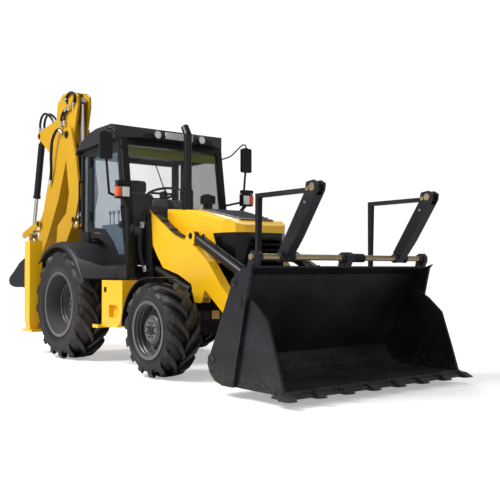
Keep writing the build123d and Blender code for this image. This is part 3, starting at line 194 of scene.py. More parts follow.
def blank(name):
    """A new material with the tree to fill and its principled surface."""
    material = bpy.data.materials.new(name)
    material.use_nodes = True
    return material, Tree(material.node_tree), material.node_tree.nodes["Principled BSDF"]


def fill(tree, surface, sockets):
    """Sets or joins the named sockets of a surface."""
    for label, value in sockets.items():
        tree.join(surface.inputs[label], value)


def paint(name, color, rough=0.33, wear=0.4, dust=0.25, top=1.0, bare=PRIMER_COLOR, coat=0.3, shine=0.5):
    """Sprayed paint on steel: soft mottling, dust, edges rubbed bare, orange peel under a clear coat."""
    material, t, surface = blank(name)
    worn = t.use(WEAR, radius=0.006, amount=wear)
    dusty = t.use(DUST, top=top, amount=dust)
    base = t.use(MOTTLE, color=(*color, 1.0), depth=0.12)
    base = t.mix(worn, t.mix(dusty, base, DUST_COLOR), bare)
    dull = t.math("MULTIPLY", t.math("ADD", worn, dusty), 0.4)
    peel = t.use(GRAIN, scale=380.0, strength=0.06, distance=0.0006)
    fill(t, surface, {"Base Color": base, "Roughness": t.math("ADD", rough, dull, clamp=True),
                      "Coat Weight": coat, "Coat Roughness": 0.15, "Specular IOR Level": shine,
                      "Normal": peel})
    return material


def moulded(name, color, rough=0.5, dust=0.25, scale=650.0):
    """Moulded plastic: leather grain, pale rubbed edges, dust on top."""
    material, t, surface = blank(name)
    base = t.use(MOTTLE, color=(*color, 1.0), depth=0.2)
    dusty = t.use(DUST, top=1.1, amount=dust)
    pale = tuple(min(1.0, c * 2.4) for c in color)
    base = t.mix(t.use(WEAR, radius=0.005, amount=0.3), t.mix(dusty, base, DUST_COLOR), (*pale, 1.0))
    dull = t.math("ADD", rough, t.math("MULTIPLY", dusty, 0.4))
    grain = t.use(GRAIN, scale=scale, strength=0.22, distance=0.0008)
    fill(t, surface, {"Base Color": base, "Roughness": dull, "Specular IOR Level": 0.3, "Normal": grain})
    return material


def bare_metal(name, color, rough, stretch, stain=0.0):
    """Turned or drawn steel with fine lines and a few stains."""
    material, t, surface = blank(name)
    lines = t.noise(26.0, 4.0, 0.6, stretch)
    spot = t.math("MULTIPLY", t.rise(t.noise(11.0, 6.0), 0.5, 0.68), stain)
    dark = tuple(c * 0.72 for c in color)
    base = t.mix(spot, t.mix(lines, (*dark, 1.0), (*color, 1.0)), RUST_COLOR)
    gloss = t.math("ADD", rough, t.math("MULTIPLY", t.math("ADD", lines, spot), 0.22), clamp=True)
    fill(t, surface, {"Base Color": base, "Metallic": t.math("SUBTRACT", 1.0, spot), "Roughness": gloss})
    return material


def bucket_skin(name, dark, pale):
    """Dark bucket paint, scraped in long strokes, rubbed bright on edges and dusty low down."""
    material, t, surface = blank(name)
    stroke = t.noise(9.0, 6.0, 0.7, (0.5, 4.0, 7.0))
    patch = t.noise(1.7, 5.0)
    base = t.mix(t.rise(patch, 0.35, 0.7), (*dark, 1.0), (*pale, 1.0))
    scraped = t.math("MULTIPLY", t.rise(stroke, 0.56, 0.7), t.rise(patch, 0.45, 0.65))
    rubbed = t.use(WEAR, radius=0.008, amount=0.6)
    bright = t.math("ADD", t.math("MULTIPLY", scraped, 0.4), rubbed, clamp=True)
    dusty = t.use(DUST, top=0.4, amount=0.16)
    base = t.mix(bright, t.mix(dusty, base, DUST_COLOR), SCRAPED_COLOR)
    rough = t.math("ADD", 0.42, t.math("MULTIPLY", t.math("SUBTRACT", dusty, bright), 0.25))
    fill(t, surface, {"Base Color": base, "Metallic": t.math("MULTIPLY", bright, 0.6), "Roughness": rough,
                      "Specular IOR Level": 0.25, "Normal": t.bump(stroke, 0.15, 0.0015)})
    return material


def rubber(name):
    """Tyre rubber: black in the grooves and on the walls, pale dust and a painted highlight on the lug tops.
    """
    material, t, surface = blank(name)
    fine = t.noise(55.0, 6.0, 0.65)
    # Painted shade from ambient occlusion: the pale colour is kept out of the grooves, which stay black.
    ao_unshaded = t.add("AmbientOcclusion", {"Distance": 0.09}, samples=6).outputs["AO"]
    facing = t.add("SeparateXYZ", {0: t.add("NewGeometry").outputs["Normal"]})
    across = t.math("ABSOLUTE", facing.outputs[1])
    crest = t.math("MULTIPLY", t.rise(ao_unshaded, 0.62, 0.9), t.rise(across, 0.85, 0.45))
    spread = t.rise(t.math("ADD", fine, t.math("MULTIPLY", t.noise(6.0, 5.0), 0.8)), 0.6, 1.1)
    # dusty is patchy dust plus a painted highlight on the open, outward-facing lug tops (crest).
    dusty = t.math("MULTIPLY", spread, t.math("ADD", 0.12, t.math("MULTIPLY", crest, 0.7)))
    clean, pale = (0.004, 0.004, 0.005, 1.0), (0.09, 0.082, 0.077, 1.0)
    base = t.mix(dusty, clean, pale)
    fill(t, surface, {"Base Color": base, "Roughness": t.math("ADD", 0.42, t.math("MULTIPLY", dusty, 0.6)),
                      "Specular IOR Level": 0.35, "Normal": t.bump(fine, 0.2, 0.0015)})
    return material


def window_glass(name, tint, clear):
    """Thin tinted glass: seen through at a right angle, shiny at a slant, faintly dusty."""
    material, t, surface = blank(name)
    slant = t.add("LayerWeight", {"Blend": 0.22}).outputs["Fresnel"]
    film = t.math("MULTIPLY", t.rise(t.noise(2.2, 6.0), 0.3, 0.85), 0.05)
    tinted = t.math("ADD", 1.0 - clear, film)
    cover = t.math("ADD", tinted, t.math("MULTIPLY", slant, 0.25), clamp=True)
    fill(t, surface, {"Base Color": (*tint, 1.0), "Roughness": 0.04, "Alpha": cover, "IOR": 1.45})
    return material


def lens(name, color, rough=0.1, glow=0.0):
    """Moulded lamp lens with fine upright ribs."""
    material, t, surface = blank(name)
    ribs = t.add("TexWave", {"Vector": t.place(), "Scale": 22.0}, bands_direction="Y").outputs[1]
    shade = t.math("ADD", 0.75, t.math("MULTIPLY", ribs, 0.25))
    base = t.add("HueSaturation", {"Color": (*color, 1.0), "Value": shade}).outputs[0]
    fill(t, surface, {"Base Color": base, "Roughness": rough, "Coat Weight": 0.5,
                      "Normal": t.bump(ribs, 0.5, 0.002), "Emission Color": (*color, 1.0),
                      "Emission Strength": glow})
    return material


def woven(name, color):
    """Woven seat cloth: crossed threads with sheen."""
    material, t, surface = blank(name)
    warp = t.add("TexWave", {"Vector": t.place(), "Scale": 130.0}, bands_direction="Y").outputs[1]
    weft = t.add("TexWave", {"Vector": t.place(), "Scale": 130.0}, bands_direction="Z").outputs[1]
    weave = t.math("MULTIPLY", warp, weft)
    dark = tuple(c * 0.6 for c in color)
    fill(t, surface, {"Base Color": t.mix(weave, (*dark, 1.0), (*color, 1.0)), "Roughness": 0.9,
                      "Sheen Weight": 0.25, "Normal": t.bump(weave, 0.35, 0.001)})
    return material


FINISH = {
    "yellow_paint": paint("yellow_paint", (0.9, 0.5, 0.006), dust=0.05, wear=0.25),
    # The backhoe's yellow is the loader's yellow at about half the brightness: a darker copy as painted shade
    # on the backhoe.
    "hoe_paint": paint("hoe_paint", (0.5, 0.275, 0.006), rough=0.45, dust=0.1, top=1.5, wear=0.5,
                       coat=0.0, shine=0.3),
    "dark_plastic": moulded("dark_plastic", (0.016, 0.0165, 0.019), 0.5, 0.08),
    "black_metal": paint("black_metal", (0.005, 0.005, 0.006), rough=0.4, dust=0.05, wear=0.2,
                         bare=(0.05, 0.05, 0.055, 1.0), coat=0.1, shine=0.3),
    "grey_paint": paint("grey_paint", (0.075, 0.075, 0.082), rough=0.38, dust=0.15, wear=0.4,
                        bare=(0.2, 0.2, 0.21, 1.0)),
    "bucket_steel": bucket_skin("bucket_steel", (0.007, 0.007, 0.01), (0.02, 0.021, 0.025)),
    "bare_steel": bare_metal("bare_steel", (0.52, 0.42, 0.26), 0.26, (60, 1, 60), 0.4),
    "rod_chrome": bare_metal("rod_chrome", (0.75, 0.75, 0.77), 0.1, (20, 20, 20)),
    "tyre_rubber": rubber("tyre_rubber"),
    "glass": window_glass("glass", (0.3, 0.34, 0.37), 0.95),
    "seat_cloth": woven("seat_cloth", (0.035, 0.036, 0.04)),
    "engine_iron": paint("engine_iron", (0.012, 0.012, 0.013), rough=0.6, dust=0.15, coat=0.0, shine=0.3),
    "lamp_parts": moulded("lamp_parts", (0.007, 0.007, 0.008), 0.42, dust=0.05),
}
CLEAR_LENS = lens("clear_lens", (0.82, 0.84, 0.86), 0.08, 0.05)
AMBER_LENS = lens("amber_lens", (0.85, 0.13, 0.01), 0.12, 0.05)
RED_LENS = lens("red_lens", (0.55, 0.01, 0.01), 0.12)
SILVER = bare_metal("silver_panel", (0.62, 0.64, 0.66), 0.3, (40, 2, 40))
VENT_GREY = moulded("vent_grey", (0.1, 0.105, 0.125), 0.45, 0.08, 300.0)
HOSE_BLACK = moulded("hose_black", (0.006, 0.006, 0.007), 0.5, 0.05, 900.0)
BAND_OLIVE = moulded("band_olive", (0.11, 0.12, 0.03), 0.5, 0.03)
HUB_GREY = paint("hub_grey", (0.034, 0.031, 0.031), rough=0.5, dust=0.3, wear=0.5)
SIDE_GLASS = window_glass("side_glass", (0.12, 0.17, 0.22), 0.72)
GLOSS_BLACK = paint("gloss_black", (0.003, 0.003, 0.004), rough=0.2, dust=0.0, wear=0.1, coat=0.4, shine=0.3)

for sub in frame["record"]["subparts"]:
    node = NODES[sub["node"]]
    node.data.materials.clear()
    node.data.materials.append(FINISH[sub["material_slot"]])
for label, _ in SIDES:
    NODES[f"door_glass_{label}"].data.materials[0] = SIDE_GLASS
NODES["front_grille"].data.materials[0] = GLOSS_BLACK


# Mesh pieces

TURN = 2 * math.pi
TINY = 0.0001


def piece(name, bm, body, slot, material=None, crease=32.0):
    """Closes a bmesh into a piece that rides on a body."""
    bmesh.ops.remove_doubles(bm, verts=bm.verts, dist=1e-6)
    bmesh.ops.recalc_face_normals(bm, faces=bm.faces)
    mesh = bpy.data.meshes.new(name)
    bm.to_mesh(mesh)
    bm.free()
    mesh.polygons.foreach_set("use_smooth", [True] * len(mesh.polygons))
    mesh.set_sharp_from_angle(angle=math.radians(crease))
    thing = bpy.data.objects.new(name, mesh)
    bpy.context.scene.collection.objects.link(thing)
    mesh.materials.append(material or FINISH[slot])
    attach(thing, body)
    return thing


def ring(bm, profile, centre, axis, steps=48):
    """Spins a profile of (radius, offset along the axis) points round an axis."""
    axis = Vector(axis).normalized()
    across = axis.orthogonal().normalized()
    verts = [bm.verts.new(centre + across * r + axis * a) for r, a in profile]
    edges = [bm.edges.new(pair) for pair in zip(verts, verts[1:])]
    bmesh.ops.spin(bm, geom=verts + edges, cent=centre, axis=axis, angle=TURN, steps=steps, use_merge=True)


def round_edges(bm, edges, size):
    """A two-step round on some edges."""
    bmesh.ops.bevel(bm, geom=edges, offset=size, offset_type="OFFSET", segments=2, profile=0.5,
                    affect="EDGES", material=-1)


def bar(bm, low, high, edge=0.004):
    """A box between two corners with rounded edges."""
    low, high = Vector(low), Vector(high)
    size = [abs(s) for s in high - low]
    matrix = Matrix.Translation((low + high) / 2) @ Matrix.Diagonal((*size, 1.0))
    verts = bmesh.ops.create_cube(bm, size=1.0, matrix=matrix)["verts"]
    round_edges(bm, list({e for v in verts for e in v.link_edges}), edge)


def slab(bm, outline, thick, edge=0.0):
    """A flat outline of points pushed out by a vector, with rounded edges."""
    face = bm.faces.new([bm.verts.new(p) for p in outline])
    grown = bmesh.ops.extrude_face_region(bm, geom=[face])["geom"]
    verts = [g for g in grown if isinstance(g, bmesh.types.BMVert)]
    bmesh.ops.translate(bm, verts=verts, vec=Vector(thick))
    if edge:
        round_edges(bm, list({e for v in [*face.verts, *verts] for e in v.link_edges}), edge)


def turned(axis):
    """Rotation that takes +Z to an axis."""
    return Vector((0, 0, 1)).rotation_difference(Vector(axis)).to_matrix().to_4x4()


def cone(bm, place, axis, radius1, radius2, depth, count=20):
    """A capped round or many-sided frustum that starts at a place and runs along an axis."""
    axis = Vector(axis).normalized()
    matrix = Matrix.Translation(Vector(place) + axis * depth / 2) @ turned(axis)
    bmesh.ops.create_cone(bm, cap_ends=True, segments=count, radius1=radius1, radius2=radius2, depth=depth,
                          matrix=matrix)


def hex_bolt(bm, place, axis, width):
    """A hexagon head on a washer, seated at a place and pointing along an axis."""
    axis = Vector(axis).normalized()
    washer, head = width * 0.12, width * 0.34
    cone(bm, place, axis, width * 0.62, width * 0.58, washer, 14)
    cone(bm, Vector(place) + axis * washer, axis, width * 0.5, width * 0.46, head, 6)


def pin_cap(bm, place, axis, radius, height=0.006):
    """End of a pivot pin: a chamfered retaining disc with a dished middle."""
    profile = [(TINY, height * 0.5), (radius * 0.5, height * 0.5), (radius * 0.6, height),
               (radius * 0.9, height), (radius, height * 0.6), (radius, 0.0)]
    ring(bm, profile, Vector(place), axis, 28)


# Wheels: tyres with lugs in place of the plain ones, nuts and hub caps

LUG_STEPS = 5
LUG_TOP, LUG_FOOT, LUG_SPREAD = 0.066, 0.1, 0.3
LUG_SWEEP, LUG_CURVE = 1.1, 0.8
LUG_NOSE, LUG_END = 0.03, 0.975
CROWN_DROP, CROWN_GAP = 0.014, 0.0005
ROOT_DEPTH, ROOT_DROP = 0.03, 0.02
WHEEL_NUTS, HUB_BOLTS = 10, 8


def lug_bar(bm, centre, turn, pitch, row, radius, half, floor_r):
    """One curved tread bar, extruded step by step from the middle of the tread out over the shoulder."""

    def section(along):
        """Corners of the bar's cross section, foot and top on both flanks."""
        last = along > 0.99
        corners = []
        for flank, top in ((-0.5, False), (0.5, False), (0.5, True), (-0.5, True)):
            crest = radius - CROWN_GAP - CROWN_DROP * along ** 2
            root = floor_r - ROOT_DEPTH - ROOT_DROP * along
            reach = (crest if top else root) - (LUG_NOSE if last else 0.0)
            across = half * (LUG_END if last else along * 1.02 - 0.05)
            thick = (LUG_TOP if top else LUG_FOOT) * (1.0 + LUG_SPREAD * along)
            angle = turn - pitch * LUG_SWEEP * along ** LUG_CURVE + flank * thick / radius
            corners.append(centre + Vector((math.sin(angle) * reach, row * across, math.cos(angle) * reach)))
        return corners

    here = section(0.0)
    face = bm.faces.new([bm.verts.new(c) for c in here])
    for step in range(1, LUG_STEPS + 1):
        there = section(step / LUG_STEPS)
        grown = bmesh.ops.extrude_face_region(bm, geom=[face])["geom"]
        face = next(g for g in grown if isinstance(g, bmesh.types.BMFace) and len(g.verts) == 4)
        for v in [g for g in grown if isinstance(g, bmesh.types.BMVert)]:
            v.co = there[min(range(4), key=lambda k: (v.co - here[k]).length)]
        here = there


def tyre(name, body, node, rim_radius, lugs, lug_height):
    """A round carcass with ribbed walls and two staggered rows of slanted lugs."""
    low, high = [Vector(corner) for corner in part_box(node)]
    centre = (low + high) / 2
    radius, half = (high.z - low.z) / 2, (high.y - low.y) / 2
    floor_r = radius - lug_height
    bm = bmesh.new()
    bead = [(0.0, 0.80), (0.02, 0.86), (0.032, 0.87), (0.045, 0.93), (0.075, 0.97)]
    belly = [(0.5 * (floor_r - rim_radius), 0.985)]
    shoulder = [(0.06, 0.965), (0.05, 0.985), (0.035, 0.95), (0.014, 0.86), (0.006, 0.7), (0.0, 0.3)]
    wall = [(rim_radius + r, a) for r, a in bead + belly] + [(floor_r - r, a) for r, a in shoulder]
    profile = [(r, -a * half) for r, a in wall] + [(r, a * half) for r, a in reversed(wall)]
    ring(bm, profile + profile[:1], centre, (0, 1, 0), 96)
    pitch = TURN / lugs
    for row in (-1, 1):
        for i in range(lugs):
            lug_bar(bm, centre, (i + 0.25 * row) * pitch, pitch, row, radius, half, floor_r)
    thing = piece(name, bm, body, "tyre_rubber", crease=40.0)
    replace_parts(thing, node)


def wheel_face(name, body, node, side, face_y, bolt_ring, size, hub_r, hub_y):
    """Wheel nuts on studs, and a hub cap with its own ring of bolts."""
    low, high = [Vector(corner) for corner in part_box(node)]
    centre = (low + high) / 2
    out = Vector((0, side, 0))
    bm = bmesh.new()
    rings = ((WHEEL_NUTS, bolt_ring, face_y, size), (HUB_BOLTS, hub_r * 0.68, hub_y, size * 0.6))
    for count, reach, y, width in rings:
        for i in range(count):
            turn = TURN * (i + 0.5) / count
            place = Vector((centre.x + reach * math.sin(turn), side * y, centre.z + reach * math.cos(turn)))
            hex_bolt(bm, place, out, width)
            cone(bm, place + out * width * 0.4, out, width * 0.24, width * 0.2, width * 0.3, 10)
    pin_cap(bm, Vector((centre.x, side * hub_y, centre.z)), out, hub_r * 0.45, 0.01)
    piece(f"{name}_nuts", bm, body, "grey_paint", FINISH["engine_iron"])
    bm = bmesh.new()
    rise = hub_y - face_y
    face = Vector((centre.x, side * face_y, centre.z))
    drum = [(hub_r * 0.98, rise - 0.002), (hub_r * 1.2, rise * 0.92), (hub_r * 1.34, rise * 0.8),
            (hub_r * 1.36, 0.3 * rise), (hub_r * 1.5, 0.2 * rise), (hub_r * 1.52, -0.02)]
    ring(bm, drum, face, out, 56)
    well = [(0.98, 0.0), (0.97, 0.012), (0.92, 0.016), (0.91, 0.002)]
    ring(bm, [(r * bolt_ring * 1.36, a) for r, a in well], face, out, 64)
    ridge = [(1.0, -0.012), (0.965, -0.004), (0.965, 0.004), (1.0, 0.012)]
    for offset in (0.4, 0.7):
        place = Vector((centre.x, side * (face_y + offset * 0.14), centre.z))
        ring(bm, [(r * bolt_ring * 1.33, a) for r, a in ridge], place, out, 64)
    piece(f"{name}_hub", bm, body, "grey_paint", HUB_GREY)


for label, sign in SIDES:
    tyre(f"rear_tread_{label}", f"rear_wheel_{label}", f"rear_tyre_{label}",
         rim_radius=0.38, lugs=16, lug_height=0.058)
    tyre(f"front_tread_{label}", f"front_wheel_{label}", f"front_tyre_{label}",
         rim_radius=0.28, lugs=14, lug_height=0.05)
    wheel_face(f"rear_{label}", f"rear_wheel_{label}", f"rear_rim_{label}", sign,
               face_y=0.789, bolt_ring=0.2, size=0.036, hub_r=0.12, hub_y=0.85)
    wheel_face(f"front_{label}", f"front_wheel_{label}", f"front_rim_{label}", sign,
               face_y=0.955, bolt_ring=0.2, size=0.03, hub_r=0.112, hub_y=1.055)


# Pivot pins: body, place in the side view, reach from the middle plane, radius

BASE_PINS = [("base", (1.255, 1.69), 0.587, 0.045), ("base", (1.29, 1.13), 0.587, 0.036),
             ("bucket_back", (3.23, 0.38), 0.583, 0.042), ("bucket_back", (3.756, 0.824), 1.165, 0.062),
             ("bucket_back", (3.694, 0.988), 1.165, 0.036), ("bucket_back", (3.371, 0.309), 1.165, 0.05),
             ("loader_arms", TILT_BASE, 0.546, 0.036)]
HOE_PINS = [("swing_post", (-1.33, 0.8), 0.189, 0.05), ("boom", (-0.68, 2.9), 0.144, 0.052),
            ("boom", (-0.47, 1.75), 0.142, 0.036), ("dipper", (-1.56, 1.745), 0.158, 0.034),
            ("dipper", DIG_BASE, 0.051, 0.038), ("dipper", (-0.5, 3.33), 0.1, 0.04),
            ("dipper", (-0.74, 3.35), 0.1, 0.034), ("hoe_bucket", (-1.6, 1.39), 0.131, 0.036),
            ("hoe_bucket", (-1.96, 1.29), 0.129, 0.034)]
FORK_PINS = ((4.262, 1.78, 0.034), (4.205, 1.77, 0.02), (4.18, 1.66, 0.014))
BUCKET_SIDE = 1.0


def pivot_caps():
    """Retaining caps on the outer ends of every pin, with a keeper bolt except on the bucket's sides."""
    meshes = defaultdict(bmesh.new)
    for pins, middle in ((BASE_PINS, 0.0), (HOE_PINS, HOE_Y)):
        for body, (x, z), reach, radius in pins:
            for side in (-1, 1):
                place = at(x, middle + side * reach, z)
                pin_cap(meshes[body], place, (0, side, 0), radius, 0.005)
                if reach < BUCKET_SIDE:
                    seat_at = place + Vector((0, side * 0.002, 0))
                    hex_bolt(meshes[body], seat_at, (0, side, 0), radius * 0.55)
    for label, s in SIDES:
        for x, z, radius in FORK_PINS:
            for side in (-1, 1):
                place = at(x, s * FORK_Y + side * FORK_HALF, z)
                pin_cap(meshes[f"fork_arm_{label}"], place, (0, side, 0), radius, 0.008)
    for body, bm in meshes.items():
        bright = FINISH["bare_steel"] if body.startswith("fork") else None
        piece(f"pin_caps_{body}", bm, body, "black_metal", bright)


pivot_caps()


# Lamps and mirror glass

LAMP_X, LAMP_Z = 1.309, (1.912, 2.02)
REAR_LAMP_X, REAR_LAMP_Z = -0.859, (1.33, 1.43)
LENS_DEPTH = 0.008


def glazing(name, body, outlines, material, slot="lamp_parts", edge=0.003):
    """Thin rounded plates, each an outline and the vector that it is pushed out by."""
    bm = bmesh.new()
    for outline, thick in outlines:
        slab(bm, outline, thick, edge)
    piece(name, bm, body, slot, material)


def front_panel(x, y0, y1, z0, z1, depth):
    """Outline and thickness of an upright plate that looks forward, or backward for a negative depth."""
    return [at(x, y0, z0), at(x, y1, z0), at(x, y1, z1), at(x, y0, z1)], (depth, 0, 0)


def side_panel(y, x0, x1, z0, z1, depth):
    """Outline and thickness of an upright plate that looks sideways."""
    return [at(x0, y, z0), at(x1, y, z0), at(x1, y, z1), at(x0, y, z1)], (0, depth, 0)


def both(x, y0, y1, z0, z1, depth):
    """The same forward or backward plate on both sides of the machine."""
    return [front_panel(x, s * y0, s * y1, z0, z1, depth) for _, s in SIDES]


def round_lamp(bm_rim, bm_lens, place, axis, radius):
    """A bezel with a domed lens."""
    ring(bm_rim, [(radius, -0.012), (radius * 1.14, -0.012), (radius * 1.14, 0.008), (radius * 1.06, 0.012),
                  (radius, 0.004), (radius, -0.012)], place, axis, 36)
    ring(bm_lens, [(TINY, 0.012), (radius * 0.5, 0.01), (radius * 0.85, 0.005), (radius, -0.002),
                   (radius, -0.01), (TINY, -0.01)], place, axis, 36)


def lighting():
    """Lenses of the headlamps, indicators, roof and rear lamps, the roof's panel and the mirror glass."""
    glazing("headlamp_lenses", "base", both(LAMP_X, 0.814, 0.905, *LAMP_Z, LENS_DEPTH), CLEAR_LENS)
    amber = both(LAMP_X, 0.916, 0.962, *LAMP_Z, LENS_DEPTH)
    amber += [side_panel(s * 0.958, 1.25, 1.316, *LAMP_Z, s * 0.01) for _, s in SIDES]
    amber += both(REAR_LAMP_X, 0.985, 1.03, *REAR_LAMP_Z, -0.007)
    glazing("indicator_lenses", "base", amber, AMBER_LENS)
    red = both(REAR_LAMP_X, 1.045, 1.1, *REAR_LAMP_Z, -0.007)
    glazing("tail_lenses", "base", red, RED_LENS)
    mirrors = both(1.091, 0.942, 1.073, 2.356, 2.634, -0.004)
    glazing("mirror_glass", "base", mirrors, FINISH["rod_chrome"], "rod_chrome")
    panel = front_panel(1.083, -0.2, 0.2, 2.655, 2.735, LENS_DEPTH)
    glazing("roof_panel", "base", [panel], SILVER, "rod_chrome", 0.004)
    rims, lenses = bmesh.new(), bmesh.new()
    for _, s in SIDES:
        round_lamp(rims, lenses, at(1.11, s * 0.317, 2.69), (1, 0, 0), 0.05)
        round_lamp(rims, lenses, at(-0.146, s * 0.5, 2.58), (-1, 0, 0), 0.03)
    dome = [(TINY, 0.05), (0.04, 0.046), (0.07, 0.03), (0.085, 0.01), (0.095, 0.006), (0.1, -0.006)]
    ring(rims, dome, at(0.5, -0.45, 2.812), (0, 0, 1), 36)
    piece("lamp_bezels", rims, "base", "lamp_parts")
    piece("round_lenses", lenses, "base", "lamp_parts", CLEAR_LENS)


lighting()


# Cab

SCREEN_FOOT, SCREEN_TOP = (1.18, 1.15), (0.96, 2.64)


def screen_x(z, depth):
    """Place of the sloping windscreen at a height, this far behind the front of its posts."""
    share = (z - SCREEN_FOOT[1]) / (SCREEN_TOP[1] - SCREEN_FOOT[1])
    return SCREEN_FOOT[0] + (SCREEN_TOP[0] - SCREEN_FOOT[0]) * share - depth


def strut(bm, start, end, radius, count=14):
    """A round bar between two points."""
    cone(bm, start, end - start, radius, radius, (end - start).length, count)


def sweep(bm, knots, radius, count=12, steps=6):
    """A round tube along a smooth line through some points: an end face, extruded and turned step by step."""
    ends = [knots[0] * 2 - knots[1], *knots, knots[-1] * 2 - knots[-2]]
    line = [knots[0]]
    for a, b, c, d in zip(ends, ends[1:], ends[2:], ends[3:]):
        for k in range(1, steps + 1):
            t = k / steps
            line.append((b * 2 + (c - a) * t + (a * 2 - b * 5 + c * 4 - d) * t ** 2
                         + (b * 3 - a - c * 3 + d) * t ** 3) / 2)
    way = (line[1] - line[0]).normalized()
    matrix = Matrix.Translation(line[0]) @ turned(way)
    disc = bmesh.ops.create_circle(bm, cap_ends=True, segments=count, radius=radius, matrix=matrix)["verts"]
    face = disc[0].link_faces[0]
    for here, there in zip(line, line[1:]):
        grown = bmesh.ops.extrude_face_region(bm, geom=[face])["geom"]
        face = next(g for g in grown if isinstance(g, bmesh.types.BMFace) and len(g.verts) == count)
        turn = way.rotation_difference((there - here).normalized()).to_matrix()
        way = (there - here).normalized()
        bmesh.ops.rotate(bm, verts=face.verts, cent=here, matrix=turn)
        bmesh.ops.translate(bm, verts=face.verts, vec=there - here)


def mirror_arms():
    """Bent tubes that carry the mirrors, from the front posts over the top of each head."""
    bm = bmesh.new()
    tube = 0.009
    route = ((0.95, 0.69, 2.49), (1.05, 0.8, 2.54), (1.1, 0.88, 2.63), (1.11, 0.95, 2.69),
             (1.11, 1.0, 2.69), (1.11, 1.015, 2.64))
    for _, s in SIDES:
        sweep(bm, [at(x, s * y, z) for x, y, z in route], tube)
        bar(bm, at(1.095, s * 0.99, 2.635), at(1.125, s * 1.03, 2.66), 0.005)
    piece("mirror_arms", bm, "base", "black_metal")


def screen_band():
    """Plain sun band along the top of the windscreen."""
    z0, z1, half = 2.43, 2.54, 0.62
    outline = [at(screen_x(z, 0.019), y, z) for z, y in ((z0, -half), (z0, half), (z1, half), (z1, -half))]
    glazing("sun_band", "base", [(outline, (0.002, 0, 0))], BAND_OLIVE, "dark_plastic", 0.0005)


def wiper():
    """Wiper with its motor cap, arm and blade on the windscreen."""
    bm = bmesh.new()
    foot_z, tip_z, tip_y, slant = 1.5, 2.06, -0.18, -0.32
    foot = at(screen_x(foot_z, 0.012), 0.08, foot_z)
    tip = at(screen_x(tip_z, 0.008), tip_y, tip_z)
    cone(bm, foot, (1, 0, 0), 0.022, 0.016, 0.02)
    strut(bm, foot + Vector((0.012, 0, 0)), tip + Vector((0.006, 0, 0)), 0.007)
    blade = [at(screen_x(z, 0.016), tip_y + (z - tip_z) * slant, z) for z in (1.72, 2.36)]
    strut(bm, blade[0], blade[1], 0.007, 6)
    piece("wiper", bm, "base", "black_metal")


def grab_rails():
    """Hand rails on the front posts and at the rear of each door."""
    bm = bmesh.new()
    reach = 0.762
    for _, s in SIDES:
        for rail in (((1.11, 1.42), (1.03, 1.82)), ((-0.04, 1.62), (-0.04, 2.2))):
            ends = [at(x, s * reach, z) for x, z in rail]
            strut(bm, ends[0], ends[1], 0.011)
            for end in ends:
                strut(bm, end + Vector((0, -s * 0.045, 0)), end + Vector((0, s * 0.008, 0)), 0.012)
    piece("grab_rails", bm, "base", "black_metal")


def door_handles():
    """Latch plate, pull handle and lock on each door."""
    for label, s in SIDES:
        bm = bmesh.new()
        bar(bm, at(0.93, s * 0.722, 1.58), at(1.02, s * 0.731, 1.66), 0.003)
        bar(bm, at(0.925, s * 0.744, 1.6), at(1.0, s * 0.754, 1.625), 0.004)
        for x in (0.935, 0.99):
            bar(bm, at(x - 0.006, s * 0.728, 1.604), at(x + 0.006, s * 0.75, 1.621), 0.002)
        cone(bm, at(1.0, s * 0.73, 1.645), (0, s, 0), 0.009, 0.008, 0.005)
        piece(f"door_handle_{label}", bm, f"door_{label}", "black_metal", FINISH["lamp_parts"])


def dash():
    """Dash console with an instrument hood, two side consoles and hand levers."""
    bm = bmesh.new()
    half = 0.34
    outline = [at(x, -half, z) for x, z in ((0.9, 1.6), (1.03, 1.6), (1.03, 1.84), (0.94, 1.86))]
    slab(bm, outline, (0, 2 * half, 0), 0.02)
    lean = 0.02
    for _, s in SIDES:
        bar(bm, at(0.02, s * half, 1.3), at(0.5, s * 0.48, 1.66), 0.02)
        for x in (0.12, 0.22, 0.34):
            strut(bm, at(x, s * 0.41, 1.65), at(x - lean, s * 0.4, 1.8), 0.007)
            cone(bm, at(x - lean, s * 0.4, 1.79), (0, 0, 1), 0.016, 0.02, 0.045)
    piece("dash_and_levers", bm, "base", "dark_plastic")
    bm = bmesh.new()
    bar(bm, at(0.94, -0.3, 1.8), at(1.0, 0.24, 1.94), 0.02)
    piece("dash_hood", bm, "base", "dark_plastic", VENT_GREY)


SEAM_DEPTH, SEAM_Y, SEAM_WIDTH = 0.05, 0.55, 0.07


def cushion(name, low, high, crown, lean=0.0):
    """A padded block: pulled in at its corners, crowned, with a sewn channel; lean shifts the top back."""
    bm = bmesh.new()
    bmesh.ops.create_cube(bm, size=1.0)
    bmesh.ops.subdivide_edges(bm, edges=bm.edges, cuts=11, use_grid_fill=True)
    low, high = Vector(low), Vector(high)
    for v in bm.verts:
        p = v.co * 2.0
        shrink = [1.0 - 0.5 * crown * (p[(i + 1) % 3] ** 4 + p[(i + 2) % 3] ** 4) for i in range(3)]
        seam = SEAM_DEPTH * math.exp(-((abs(p.y) - SEAM_Y) / SEAM_WIDTH) ** 2)
        q = Vector([p[i] * shrink[i] * (1.0 - (seam if i != 1 else 0.0)) for i in range(3)])
        v.co = Vector([(low[i] + high[i]) / 2 + q[i] * (high[i] - low[i]) / 2 for i in range(3)])
        v.co.x += lean * (v.co.z - low.z)
    thing = piece(name, bm, "base", "seat_cloth", crease=80.0)
    smooth = thing.modifiers.new("round", "SUBSURF")
    smooth.levels = smooth.render_levels = 1


